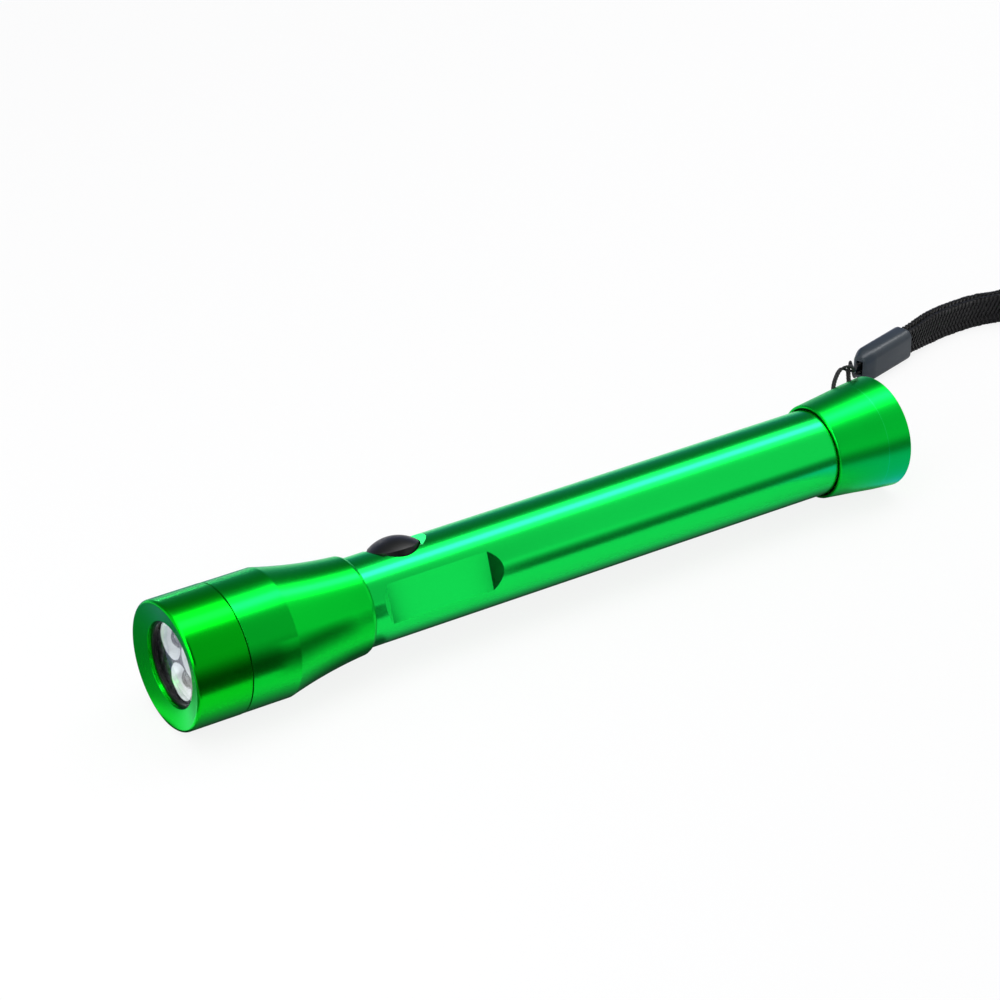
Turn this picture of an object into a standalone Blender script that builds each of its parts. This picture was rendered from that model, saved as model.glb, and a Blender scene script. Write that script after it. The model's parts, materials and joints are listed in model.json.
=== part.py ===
"""Aluminium hand torch with three light-emitting diodes, a side button and a wrist strap.

Units are metres and +Z is up. The torch lies on the plane z = 0 with its head towards -X.
Stations are distances along the torch from the front face of its bezel.
"""
import math

import bmesh
import bpy
from mathutils import Matrix, Vector

MM = 0.001

# Clearances
SEAT_GAP = 0.3 * MM
SEAL_GAP = 0.1 * MM
CUT_OVERRUN = 2.0 * MM
SPRING_END_GAP = 0.45 * MM

# Facets
TURN_SIDES = 48
SMALL_SIDES = 24
RING_SIDES = 6
TUNNEL_SIDES = 16
CURVE_STEPS = 6

# Battery cells, size AA
CELL_R = 7.1 * MM
CELL_LENGTH = 50.5 * MM
CELL_NUB_R = 2.7 * MM
CELL_NUB_LENGTH = 1.2 * MM
CELL_EDGE = 0.8 * MM
CELL_CLEARANCE = 0.5 * MM

# Bezel ring at the front
BEZEL_R = 14.0 * MM
BEZEL_LENGTH = 12.45 * MM
BEZEL_EDGE = 0.5 * MM
BEZEL_WALL = 1.4 * MM
BEZEL_OPENING_R = 9.3 * MM
BEZEL_DISH = 1.2 * MM
BEZEL_LIP = 0.9 * MM

# Lens and its seal
SEAL_THICKNESS = 0.4 * MM
SEAL_INSET = 0.55 * MM
LENS_THICKNESS = 1.2 * MM
LENS_EDGE = 0.25 * MM

# Reflector with three cups, and the diodes in them
CUP_COUNT = 3
CUP_RING_R = 5.0 * MM
CUP_MOUTH_R = 4.1 * MM
CUP_WALL = 0.75 * MM
CUP_TURN = math.radians(53.0)
REFLECTOR_FLANGE = 1.0 * MM
REFLECTOR_DEPTH = 6.6 * MM
REFLECTOR_WALL = 1.4 * MM
DIODE_R = 2.5 * MM
DIODE_FLANGE_STEP = 0.4 * MM
DIODE_FLANGE = 1.0 * MM
DIODE_LENGTH = 8.6 * MM
DIODE_CLEARANCE = 0.25 * MM
LEG_HALF = 0.25 * MM
LEG_PITCH = 2.54 * MM
LEG_TAIL = 0.4 * MM
LEG_HOLE_R = 0.55 * MM
BOARD_THICKNESS = 1.6 * MM
BOARD_STANDOFF = 1.4 * MM

# Head shell
SEAM_GAP = 0.3 * MM
HEAD_INSET = 0.05 * MM
HEAD_CYLINDER = 11.15 * MM
HEAD_CONE = 19.1 * MM
HEAD_STEP = 1.05 * MM
HEAD_STEP_HEIGHT = 0.97 * MM
HEAD_END_LIP = 0.1 * MM
CONE_FALL = 2.485 * MM
SPIGOT_WALL = 1.1 * MM
O_RING_GROOVE = 0.5 * MM
O_RING_GROOVE_WIDTH = 1.4 * MM
O_RING_LAND = 0.6 * MM

# Body tube
TUBE_WALL = 2.15 * MM
TUBE_SPIGOT_WALL = 1.3 * MM
TUBE_THREAD_RELIEF = 0.6 * MM
FLAT_DEPTH = 0.98 * MM
FLAT_SETBACK = 4.25 * MM
FLAT_LENGTH = 24.5 * MM
RAMP_FRONT = 1.5 * MM
RAMP_REAR = 2.8 * MM

# Push button and switch
BUTTON_SETBACK = 11.95 * MM
BUTTON_R = 5.5 * MM
BUTTON_CROWN = 2.0 * MM
BUTTON_RIM_HEIGHT = 0.55 * MM
BUTTON_WALL = 1.2 * MM
BUTTON_FLANGE_WIDTH = 1.4 * MM
BUTTON_FLANGE = 2.9 * MM
BUTTON_FLAT_HALF = 4.8 * MM
BUTTON_TRAVEL = 1.0 * MM
BOSS_R = 1.8 * MM
PLUNGER_R = 2.0 * MM
PLUNGER_STANDOUT = 2.6 * MM
PLUNGER_LENGTH = 5.0 * MM
SWITCH_SIDE = 8.6 * MM
SWITCH_HEIGHT = 5.5 * MM
SWITCH_PIN_R = 0.4 * MM
SWITCH_PIN_PITCH = 5.0 * MM

# Switch carrier and contacts
CARRIER_FRONT_REACH = 25.7 * MM
CARRIER_REAR_REACH = 10.15 * MM
CARRIER_FLOOR = 1.6 * MM
CARRIER_SHELF_MARGIN = 0.6 * MM
CONTACT_THICKNESS = 0.4 * MM
CONTACT_WIDTH = 3.0 * MM
CONTACT_TOP = 3.5 * MM
CONTACT_SPLIT = 2.0 * MM
FRONT_SPRING_R = 3.0 * MM
FRONT_SPRING_WIRE = 0.7 * MM
FRONT_SPRING_CURLS = 5

# Tail cap
CAP_LENGTH = 18.35 * MM
CAP_LIP_GAP = 0.4 * MM
CAP_LIP_WALL = 0.6 * MM
CAP_LIP_DEPTH = 3.85 * MM
CAP_RIM_EDGE = 0.25 * MM
CAP_WAIST_FLARE = 0.8 * MM
CAP_WAIST = 7.35 * MM
CAP_CREASE_FLARE = 0.65 * MM
CAP_CREASE = 12.45 * MM
CAP_END_FLARE = 0.5 * MM
CAP_END_CHAMFER = 0.25 * MM
CAP_FLOOR = 3.25 * MM
CAP_POCKET_CLEARANCE = 0.35 * MM
TAIL_SPRING_LENGTH = 9.7 * MM
TAIL_SPRING_WIRE = 0.9 * MM
TAIL_SPRING_BASE_R = 6.0 * MM
TAIL_SPRING_TIP_R = 3.4 * MM
TAIL_SPRING_CURLS = 5

# Lanyard cord, sleeve and wrist strap
CORD_R = 0.3 * MM
TUNNEL_RING_R = 2.4 * MM
TUNNEL_R = 1.1 * MM
TUNNEL_SINK = 0.45 * MM
TUNNEL_WALL = 0.8 * MM
TUNNEL_SETBACK = 5.0 * MM
TUNNEL_TURN = math.radians(18.0)
STRAND_HALF = 0.4 * MM
STRAND_RISE = 0.5 * MM
SLEEVE_LENGTH = 17.6 * MM
SLEEVE_NOSE = 2.5 * MM
SLEEVE_HEIGHT = 8.0 * MM
SLEEVE_THICKNESS = 5.6 * MM
SLEEVE_CHAMFER = 1.2 * MM
SLEEVE_NOSE_SHRINK = 0.95 * MM
MOUTH_WIDTH = 1.9 * MM
MOUTH_HEIGHT = 3.6 * MM
MOUTH_DEPTH = 4.0 * MM
STRAP_WIDTH = 8.0 * MM
STRAP_END_WIDTH = 6.6 * MM
STRAP_WIDENING = 12.0 * MM
STRAP_THICKNESS = 1.5 * MM
STRAP_LAYER_GAP = 0.3 * MM
STRAP_EDGE = 0.4 * MM
GROUND_GAP = 0.1 * MM

# How the torch lies
ROLL = math.radians(20.0)

# Stations and radii that follow from the sizes above
SEAL_FRONT = BEZEL_DISH + BEZEL_LIP + SEAT_GAP
LENS_FRONT = SEAL_FRONT + SEAL_THICKNESS + SEAT_GAP
REFLECTOR_FRONT = LENS_FRONT + LENS_THICKNESS + SEAT_GAP
REFLECTOR_REAR = REFLECTOR_FRONT + REFLECTOR_DEPTH
SPIGOT_FRONT = REFLECTOR_FRONT + REFLECTOR_FLANGE + SEAT_GAP
DIODE_BASE = REFLECTOR_REAR + BOARD_STANDOFF + DIODE_FLANGE
BOARD_FRONT = DIODE_BASE + SEAT_GAP
BOARD_REAR = BOARD_FRONT + BOARD_THICKNESS
BOARD_SHOULDER = BOARD_REAR + SEAT_GAP
HEAD_FRONT = BEZEL_LENGTH + SEAM_GAP
CONE_START = HEAD_FRONT + HEAD_CYLINDER
CONE_END = CONE_START + HEAD_CONE
HEAD_END = CONE_END + HEAD_STEP

HEAD_R = BEZEL_R - HEAD_INSET
BEZEL_BORE_R = BEZEL_R - BEZEL_WALL
SPIGOT_R = BEZEL_BORE_R - SEAT_GAP
LENS_R = SPIGOT_R - SEAT_GAP
HEAD_BORE_R = SPIGOT_R - SPIGOT_WALL
BOARD_R = HEAD_BORE_R - SEAT_GAP
REFLECTOR_BORE_R = BOARD_R - REFLECTOR_WALL
CUP_HOLE_R = DIODE_R + DIODE_CLEARANCE
DIODE_FLANGE_R = DIODE_R + DIODE_FLANGE_STEP

TUBE_BORE_R = CELL_R + CELL_CLEARANCE
TUBE_R = TUBE_BORE_R + TUBE_WALL
TUBE_SPIGOT_R = TUBE_BORE_R + TUBE_SPIGOT_WALL
TUBE_SPIGOT_FRONT = BOARD_SHOULDER
TUBE_THREAD_R = TUBE_R - TUBE_THREAD_RELIEF
FLAT_LEVEL = TUBE_R - FLAT_DEPTH

BUTTON_STATION = HEAD_END + BUTTON_SETBACK
BUTTON_RIM = FLAT_LEVEL + BUTTON_RIM_HEIGHT
BUTTON_TOP = BUTTON_RIM + BUTTON_CROWN
BUTTON_FLANGE_R = BUTTON_R + BUTTON_FLANGE_WIDTH
BUTTON_FLANGE_TOP_R = TUBE_BORE_R - SEAT_GAP
BUTTON_BASE = BUTTON_FLANGE_TOP_R - BUTTON_FLANGE
SHELF_LEVEL = BUTTON_BASE - BUTTON_TRAVEL - SEAT_GAP
SWITCH_TOP = SHELF_LEVEL
SWITCH_BASE = SWITCH_TOP - SWITCH_HEIGHT
PLUNGER_TOP = SWITCH_TOP + PLUNGER_STANDOUT
POCKET_BASE = SWITCH_BASE - SEAT_GAP
GROOVE_TOP = POCKET_BASE - CARRIER_FLOOR
CARRIER_R = TUBE_BORE_R - SEAT_GAP
CARRIER_SHELF_HALF = BUTTON_FLANGE_R + CARRIER_SHELF_MARGIN
CARRIER_FRONT = BUTTON_STATION - CARRIER_FRONT_REACH
CARRIER_REAR = BUTTON_STATION + CARRIER_REAR_REACH

CELL_FRONT_NUB = CARRIER_REAR + CONTACT_THICKNESS + 2 * SEAT_GAP
CELL_REAR_NUB = CELL_FRONT_NUB + CELL_LENGTH + SEAT_GAP
TAIL_SPRING_TIP = CELL_REAR_NUB + CELL_LENGTH + SEAT_GAP
TAIL_SPRING_BASE = TAIL_SPRING_TIP + TAIL_SPRING_LENGTH
CAP_POCKET_FLOOR = TAIL_SPRING_BASE + SEAT_GAP
TORCH_LENGTH = CAP_POCKET_FLOOR + CAP_FLOOR
CAP_FRONT = TORCH_LENGTH - CAP_LENGTH
CAP_LIP_END = CAP_FRONT + CAP_LIP_DEPTH
TUNNEL_STATION = TORCH_LENGTH - TUNNEL_SETBACK
CAP_THREAD_END = TUNNEL_STATION - TUNNEL_RING_R - TUNNEL_R - TUNNEL_WALL
CAP_LIP_BORE_R = TUBE_R + CAP_LIP_GAP
CAP_RIM_R = CAP_LIP_BORE_R + CAP_LIP_WALL
CAP_WAIST_R = CAP_RIM_R + CAP_WAIST_FLARE
CAP_CREASE_R = CAP_WAIST_R + CAP_CREASE_FLARE
CAP_END_R = CAP_CREASE_R + CAP_END_FLARE
CAP_POCKET_R = TAIL_SPRING_BASE_R + TAIL_SPRING_WIRE / 2 + CAP_POCKET_CLEARANCE
CAP_THREAD_R = TUBE_THREAD_R + SEAT_GAP
TUBE_END = CAP_THREAD_END - SEAT_GAP
TUBE_SHOULDER = CAP_LIP_END - SEAT_GAP
TAIL_GROOVE_END = TUBE_SHOULDER - O_RING_LAND
TAIL_GROOVE_START = TAIL_GROOVE_END - O_RING_GROOVE_WIDTH
TUNNEL_CENTRE_R = CAP_CREASE_R - TUNNEL_SINK

# The head's shoulder and the tail cap's largest circle both touch the ground
REST_SPAN = TORCH_LENGTH - CAP_END_CHAMFER - CONE_START
TILT = math.asin((HEAD_R - CAP_END_R) / REST_SPAN)
AXIS_HEIGHT = HEAD_R * math.cos(TILT) - (TORCH_LENGTH / 2 - CONE_START) * math.sin(TILT)


# Scene helpers

def clear_scene():
    for item in list(bpy.data.objects):
        bpy.data.objects.remove(item, do_unlink=True)


def make_material(name, colour, roughness, metallic):
    material = bpy.data.materials.new(name)
    material.use_nodes = True
    shader = material.node_tree.nodes["Principled BSDF"]
    shader.inputs["Base Color"].default_value = (*colour, 1.0)
    shader.inputs["Roughness"].default_value = roughness
    shader.inputs["Metallic"].default_value = metallic
    return material


def add_object(name, data, material=None, parent=None, place=(0.0, 0.0, 0.0)):
    item = bpy.data.objects.new(name, data)
    bpy.context.scene.collection.objects.link(item)
    item.parent = parent
    item.location = place
    if material:
        data.materials.append(material)
    else:
        item.hide_render = True
        item.display_type = "WIRE"
    return item


def finish_mesh(name, shape):
    bmesh.ops.remove_doubles(shape, verts=shape.verts, dist=0.00001 * MM)
    bmesh.ops.recalc_face_normals(shape, faces=shape.faces)
    mesh = bpy.data.meshes.new(name)
    shape.to_mesh(mesh)
    shape.free()
    mesh.shade_smooth()
    mesh.set_sharp_from_angle(angle=math.radians(30.0))
    return mesh


def turned_mesh(name, outline, axis, sides=TURN_SIDES):
    """Spin an outline of (along the axis, radius) points; its ends may lie on the axis."""
    shape = bmesh.new()
    if axis == "X":
        spin_axis = Vector((1.0, 0.0, 0.0))
        points = [shape.verts.new((along, 0.0, radius)) for along, radius in outline]
    else:
        spin_axis = Vector((0.0, 0.0, 1.0))
        points = [shape.verts.new((radius, 0.0, along)) for along, radius in outline]
    ends_on_axis = outline[0][1] == 0.0 and outline[-1][1] == 0.0
    followers = points[1:] if ends_on_axis else points[1:] + points[:1]
    edges = [shape.edges.new(pair) for pair in zip(points, followers)]
    bmesh.ops.spin(shape, geom=points + edges, cent=(0.0, 0.0, 0.0), axis=spin_axis,
                   angle=math.tau, steps=sides, use_merge=True)
    return finish_mesh(name, shape)


def prism_mesh(name, outline, low, high):
    """Extrude a closed outline of (x, z) points along Y from low to high."""
    shape = bmesh.new()
    corners = [shape.verts.new((x, low, z)) for x, z in outline]
    face = shape.faces.new(corners)
    grown = bmesh.ops.extrude_face_region(shape, geom=[face])
    moved = [item for item in grown["geom"] if isinstance(item, bmesh.types.BMVert)]
    bmesh.ops.translate(shape, verts=moved, vec=(0.0, high - low, 0.0))
    return finish_mesh(name, shape)


def box_mesh(name, low, high):
    outline = [(low[0], low[2]), (high[0], low[2]), (high[0], high[2]), (low[0], high[2])]
    return prism_mesh(name, outline, low[1], high[1])


def along_torch(station):
    return station - TORCH_LENGTH / 2


def shifted(outline, station):
    return [(along - station, radius) for along, radius in outline]


def turned_piece(name, outline, material, parent, sides=TURN_SIDES, offset=(0.0, 0.0)):
    """A piece turned about the torch's axis, or about a line beside it, from stations and radii."""
    station = outline[0][0]
    mesh = turned_mesh(name, shifted(outline, station), "X", sides)
    place = (along_torch(station), offset[0], offset[1])
    return add_object(name, mesh, material, parent, place)


def combine(target, helper, operation):
    modifier = target.modifiers.new(operation.lower() + "_" + helper.name, "BOOLEAN")
    modifier.operation = operation
    modifier.solver = "EXACT"
    modifier.object = helper


def ring_outline(station, radius, half_width, half_height, sides=RING_SIDES):
    points = []
    for step in range(sides):
        angle = math.tau * (step + 0.5) / sides
        along = station + half_width * math.cos(angle)
        points.append((along, radius + half_height * math.sin(angle)))
    return points


def bend(start, control, end, steps=CURVE_STEPS):
    """Points of a quadratic curve, its first point left out."""
    points = []
    for step in range(1, steps + 1):
        share = step / steps
        keep = 1.0 - share
        along = keep * keep * start[0] + 2 * keep * share * control[0] + share * share * end[0]
        radius = keep * keep * start[1] + 2 * keep * share * control[1] + share * share * end[1]
        points.append((along, radius))
    return points


def smooth_route(points, step_at):
    """Sample a smooth curve through the points; step_at gives the spacing near a place."""
    samples = 24
    dense = []
    padded = [2 * points[0] - points[1]] + list(points) + [2 * points[-1] - points[-2]]
    for before, start, end, after in zip(padded, padded[1:], padded[2:], padded[3:]):
        for step in range(samples):
            t = step / samples
            pull_in = 2 * start
            pull_a = (end - before) * t
            pull_b = (2 * before - 5 * start + 4 * end - after) * t * t
            pull_c = (3 * start - before - 3 * end + after) * t * t * t
            dense.append(0.5 * (pull_in + pull_a + pull_b + pull_c))
    dense.append(points[-1].copy())
    route = [dense[0]]
    walked = 0.0
    for last, point in zip(dense, dense[1:]):
        walked += (point - last).length
        if walked >= step_at(point):
            route.append(point)
            walked = 0.0
    if (route[-1] - dense[-1]).length < 0.5 * step_at(dense[-1]):
        route.pop()
    route.append(dense[-1])
    return route


def tube_curve(name, route, radius, resolution):
    curve = bpy.data.curves.new(name, "CURVE")
    curve.dimensions = "3D"
    curve.bevel_depth = radius
    curve.bevel_resolution = resolution
    curve.use_fill_caps = True
    spline = curve.splines.new("POLY")
    spline.points.add(len(route) - 1)
    for knot, place in zip(spline.points, route):
        knot.co = (*place, 1.0)
    return curve


def least_gap(route, radius, apart):
    """Smallest clear distance between stretches of a tube that are apart along its length."""
    lengths = [0.0]
    for last, point in zip(route, route[1:]):
        lengths.append(lengths[-1] + (point - last).length)
    closest = math.inf
    for first in range(len(route)):
        for second in range(first + 1, len(route)):
            if lengths[second] - lengths[first] > apart:
                closest = min(closest, (route[first] - route[second]).length)
    return closest - 2 * radius


def coil_route(tip, base, tip_radius, base_radius, curls, closing_step, points_per_curl=9):
    """A spring's wire along X; its first and last curls advance by the closing step only."""
    route = []
    open_step = (base - tip - 2 * closing_step) / (curls - 2)
    total = curls * points_per_curl
    for step in range(total + 1):
        turns = step / points_per_curl
        angle = math.tau * turns
        radius = tip_radius + (base_radius - tip_radius) * step / total
        closed_turns = min(turns, 1.0) + max(turns - curls + 1, 0.0)
        along = tip + closing_step * closed_turns + open_step * (turns - closed_turns)
        route.append(Vector((along, radius * math.cos(angle), radius * math.sin(angle))))
    return route


clear_scene()

green = make_material("green_anodised_aluminium", (0.0, 0.42, 0.06), 0.28, 1.0)
black_rubber = make_material("black_rubber", (0.02, 0.02, 0.022), 0.6, 0.0)
clear_plastic = make_material("clear_lens_plastic", (0.9, 0.93, 0.95), 0.05, 0.0)
chrome = make_material("chromed_reflector", (0.9, 0.9, 0.92), 0.08, 1.0)
diode_resin = make_material("clear_diode_resin", (0.86, 0.9, 0.92), 0.1, 0.0)
board_green = make_material("circuit_board", (0.05, 0.2, 0.09), 0.5, 0.0)
black_plastic = make_material("black_plastic", (0.03, 0.03, 0.035), 0.45, 0.0)
white_plastic = make_material("white_plastic", (0.75, 0.75, 0.72), 0.4, 0.0)
brass = make_material("brass_contact", (0.75, 0.55, 0.2), 0.3, 1.0)
spring_steel = make_material("spring_steel", (0.6, 0.6, 0.62), 0.3, 1.0)
cell_wrap = make_material("cell_wrap", (0.2, 0.22, 0.25), 0.4, 0.0)
cord_black = make_material("black_cord", (0.02, 0.02, 0.022), 0.8, 0.0)
sleeve_grey = make_material("grey_sleeve_plastic", (0.07, 0.085, 0.1), 0.4, 0.0)
strap_black = make_material("black_woven_strap", (0.015, 0.015, 0.016), 0.9, 0.0)

torch = add_object("torch_axis", None)
torch.location = (0.0, 0.0, AXIS_HEIGHT)
torch.rotation_euler = (-ROLL, TILT, 0.0)

# Bezel: a turned ring with a dished front face and a thin lip that holds the lens
bezel_outline = [
    (0.0, BEZEL_R - BEZEL_EDGE),
    (0.3 * BEZEL_EDGE, BEZEL_R - 0.3 * BEZEL_EDGE),
    (BEZEL_EDGE, BEZEL_R),
    (BEZEL_LENGTH, BEZEL_R),
    (BEZEL_LENGTH, BEZEL_BORE_R),
    (BEZEL_DISH + BEZEL_LIP, BEZEL_BORE_R),
    (BEZEL_DISH + BEZEL_LIP, BEZEL_OPENING_R),
    (BEZEL_DISH, BEZEL_OPENING_R),
]
turned_piece("bezel", bezel_outline, green, torch)

# Lens seal: a flat rubber ring that shows as a black band inside the opening
seal_outline = [
    (SEAL_FRONT, LENS_R),
    (SEAL_FRONT + SEAL_THICKNESS, LENS_R),
    (SEAL_FRONT + SEAL_THICKNESS, BEZEL_OPENING_R - SEAL_INSET),
    (SEAL_FRONT, BEZEL_OPENING_R - SEAL_INSET),
]
turned_piece("lens_seal", seal_outline, black_rubber, torch)

# Lens: a clear disc with broken edges
lens_outline = [
    (LENS_FRONT, 0.0),
    (LENS_FRONT, LENS_R - LENS_EDGE),
    (LENS_FRONT + LENS_EDGE, LENS_R),
    (LENS_FRONT + LENS_THICKNESS - LENS_EDGE, LENS_R),
    (LENS_FRONT + LENS_THICKNESS, LENS_R - LENS_EDGE),
    (LENS_FRONT + LENS_THICKNESS, 0.0),
]
turned_piece("lens", lens_outline, clear_plastic, torch)

# Reflector: a flanged drum whose front plate holds three hollow cups
reflector_outline = [
    (REFLECTOR_FRONT, 0.0),
    (REFLECTOR_FRONT, LENS_R),
    (REFLECTOR_FRONT + REFLECTOR_FLANGE, LENS_R),
    (REFLECTOR_FRONT + REFLECTOR_FLANGE, BOARD_R),
    (REFLECTOR_REAR, BOARD_R),
    (REFLECTOR_REAR, REFLECTOR_BORE_R),
    (REFLECTOR_FRONT + REFLECTOR_WALL, REFLECTOR_BORE_R),
    (REFLECTOR_FRONT + REFLECTOR_WALL, 0.0),
]
reflector = turned_piece("reflector", reflector_outline, chrome, torch)


def cup_radius(share):
    """Radius of a cup's parabola at a share of its depth."""
    mouth = CUP_MOUTH_R * CUP_MOUTH_R
    hole = CUP_HOLE_R * CUP_HOLE_R
    return math.sqrt(mouth + (hole - mouth) * share)


def cup_places():
    places = []
    for index in range(CUP_COUNT):
        angle = CUP_TURN + math.tau * index / CUP_COUNT
        places.append((CUP_RING_R * math.cos(angle), CUP_RING_R * math.sin(angle)))
    return places


cup_inner = [(REFLECTOR_FRONT - CUT_OVERRUN, 0.0), (REFLECTOR_FRONT - CUT_OVERRUN, CUP_MOUTH_R)]
cup_outer = [(REFLECTOR_FRONT + 0.5 * REFLECTOR_WALL, 0.0)]
for step in range(CURVE_STEPS + 1):
    share = step / CURVE_STEPS
    station = REFLECTOR_FRONT + REFLECTOR_DEPTH * share
    cup_inner.append((station, cup_radius(share)))
    outer_station = max(station, REFLECTOR_FRONT + 0.5 * REFLECTOR_WALL)
    cup_outer.append((outer_station, cup_radius(share) + CUP_WALL))
cup_inner.append((REFLECTOR_REAR + CUT_OVERRUN, CUP_HOLE_R))
cup_inner.append((REFLECTOR_REAR + CUT_OVERRUN, 0.0))
cup_outer.append((REFLECTOR_REAR, 0.0))
for place in cup_places():
    shell = turned_piece("cup_shell", cup_outer, None, torch, SMALL_SIDES, place)
    combine(reflector, shell, "UNION")
for place in cup_places():
    hollow = turned_piece("cup_hollow", cup_inner, None, torch, SMALL_SIDES, place)
    combine(reflector, hollow, "DIFFERENCE")

# Circuit board behind the reflector, drilled for the diodes' legs
board_outline = [
    (BOARD_FRONT, 0.0),
    (BOARD_FRONT, BOARD_R),
    (BOARD_REAR, BOARD_R),
    (BOARD_REAR, 0.0),
]
board = turned_piece("led_board", board_outline, board_green, torch)


# Diodes: domed resin bodies on a flange, each with two legs through the board
def diode_outline():
    tip = DIODE_BASE - DIODE_LENGTH
    points = [(tip, 0.0)]
    for step in range(1, 6):
        angle = math.pi / 2 * step / 5
        along = tip + DIODE_R * (1.0 - math.cos(angle))
        points.append((along, DIODE_R * math.sin(angle)))
    points += [
        (DIODE_BASE - DIODE_FLANGE, DIODE_R),
        (DIODE_BASE - DIODE_FLANGE, DIODE_FLANGE_R),
        (DIODE_BASE, DIODE_FLANGE_R),
        (DIODE_BASE, 0.0),
    ]
    return points


for index, place in enumerate(cup_places()):
    diode = turned_piece("led_%d" % (index + 1), diode_outline(), diode_resin, torch, SMALL_SIDES, place)
    for side in (-1, 1):
        leg_y = place[0] + side * LEG_PITCH / 2
        low = (along_torch(DIODE_BASE - 0.5 * DIODE_FLANGE), leg_y - LEG_HALF, place[1] - LEG_HALF)
        high = (along_torch(BOARD_REAR + LEG_TAIL), leg_y + LEG_HALF, place[1] + LEG_HALF)
        leg = add_object("diode_leg", box_mesh("diode_leg", low, high), None, torch)
        combine(diode, leg, "UNION")
        hole_outline = [
            (BOARD_FRONT - CUT_OVERRUN, 0.0),
            (BOARD_FRONT - CUT_OVERRUN, LEG_HOLE_R),
            (BOARD_REAR + CUT_OVERRUN, LEG_HOLE_R),
            (BOARD_REAR + CUT_OVERRUN, 0.0),
        ]
        hole = turned_piece("leg_hole", hole_outline, None, torch, RING_SIDES, (leg_y, place[1]))
        combine(board, hole, "DIFFERENCE")

# Head shell: a spigot for the bezel, a cylinder and a hollow-backed cone down to the tube
GROOVE_END = BEZEL_LENGTH - O_RING_LAND
GROOVE_START = GROOVE_END - O_RING_GROOVE_WIDTH
GROOVE_R = SPIGOT_R - O_RING_GROOVE
HEAD_STEP_R = TUBE_R + HEAD_STEP_HEIGHT
HEAD_TUBE_BORE_R = TUBE_SPIGOT_R + SEAT_GAP
cone_control = ((CONE_START + CONE_END) / 2, HEAD_R - CONE_FALL)
head_outline = [
    (SPIGOT_FRONT, HEAD_BORE_R),
    (SPIGOT_FRONT, SPIGOT_R),
    (GROOVE_START, SPIGOT_R),
    (GROOVE_START, GROOVE_R),
    (GROOVE_END, GROOVE_R),
    (GROOVE_END, SPIGOT_R),
    (HEAD_FRONT, SPIGOT_R),
    (HEAD_FRONT, HEAD_R),
    (CONE_START, HEAD_R),
]
head_outline += bend((CONE_START, HEAD_R), cone_control, (CONE_END, HEAD_STEP_R))
head_outline += [
    (CONE_END + 0.6 * HEAD_STEP, HEAD_STEP_R - 0.3 * HEAD_STEP_HEIGHT),
    (HEAD_END, TUBE_R + HEAD_END_LIP),
    (HEAD_END, HEAD_TUBE_BORE_R),
    (BOARD_SHOULDER, HEAD_TUBE_BORE_R),
    (BOARD_SHOULDER, HEAD_BORE_R),
]
turned_piece("head_shell", head_outline, green, torch)


# Rubber rings that seal the bezel and the tail cap
def rubber_ring(name, start, end, floor_radius, bore_radius):
    half_height = (bore_radius - floor_radius) / 2 - SEAL_GAP
    half_width = min((end - start) / 2 - SEAL_GAP, half_height)
    middle = (floor_radius + bore_radius) / 2
    outline = ring_outline((start + end) / 2, middle, half_width, half_height)
    turned_piece(name, outline, black_rubber, torch)


rubber_ring("bezel_o_ring", GROOVE_START, GROOVE_END, GROOVE_R, BEZEL_BORE_R)
TAIL_GROOVE_R = TUBE_R - O_RING_GROOVE
rubber_ring("tail_o_ring", TAIL_GROOVE_START, TAIL_GROOVE_END, TAIL_GROOVE_R, CAP_LIP_BORE_R)

# Body tube: turned, with a milled flat on its side and a second one under the button
tube_outline = [
    (TUBE_SPIGOT_FRONT, TUBE_BORE_R),
    (TUBE_SPIGOT_FRONT, TUBE_SPIGOT_R),
    (HEAD_END + SEAT_GAP, TUBE_SPIGOT_R),
    (HEAD_END + SEAT_GAP, TUBE_R),
    (TAIL_GROOVE_START, TUBE_R),
    (TAIL_GROOVE_START, TAIL_GROOVE_R),
    (TAIL_GROOVE_END, TAIL_GROOVE_R),
    (TAIL_GROOVE_END, TUBE_R),
    (TUBE_SHOULDER, TUBE_R),
    (TUBE_SHOULDER, TUBE_THREAD_R),
    (TUBE_END, TUBE_THREAD_R),
    (TUBE_END, TUBE_BORE_R),
]
tube = turned_piece("body_tube", tube_outline, green, torch)


def flat_cutter(name, start, end):
    """A block that mills a flat with a sloping run-out at each end, level with +Z."""
    rise = CUT_OVERRUN + FLAT_DEPTH
    front_run = RAMP_FRONT * rise / FLAT_DEPTH
    rear_run = RAMP_REAR * rise / FLAT_DEPTH
    outline = [
        (along_torch(start), FLAT_LEVEL),
        (along_torch(end), FLAT_LEVEL),
        (along_torch(end) + rear_run, FLAT_LEVEL + rise),
        (along_torch(start) - front_run, FLAT_LEVEL + rise),
    ]
    return add_object(name, prism_mesh(name, outline, -TUBE_R, TUBE_R), None, torch)


FLAT_START = HEAD_END + FLAT_SETBACK
side_flat = flat_cutter("side_flat", FLAT_START, FLAT_START + FLAT_LENGTH)
side_flat.rotation_euler = (math.pi / 2, 0.0, 0.0)
button_flat_front = BUTTON_STATION - BUTTON_FLAT_HALF
button_flat_rear = BUTTON_STATION + BUTTON_FLAT_HALF
button_flat = flat_cutter("button_flat", button_flat_front, button_flat_rear)
hole_outline = [
    (SHELF_LEVEL, 0.0),
    (SHELF_LEVEL, BUTTON_R + SEAT_GAP),
    (TUBE_R + CUT_OVERRUN, BUTTON_R + SEAT_GAP),
    (TUBE_R + CUT_OVERRUN, 0.0),
]
button_place = (along_torch(BUTTON_STATION), 0.0, 0.0)
hole_mesh = turned_mesh("button_hole", hole_outline, "Z")
button_hole = add_object("button_hole", hole_mesh, None, torch, button_place)
for cutter in (side_flat, button_flat, button_hole):
    combine(tube, cutter, "DIFFERENCE")

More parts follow.
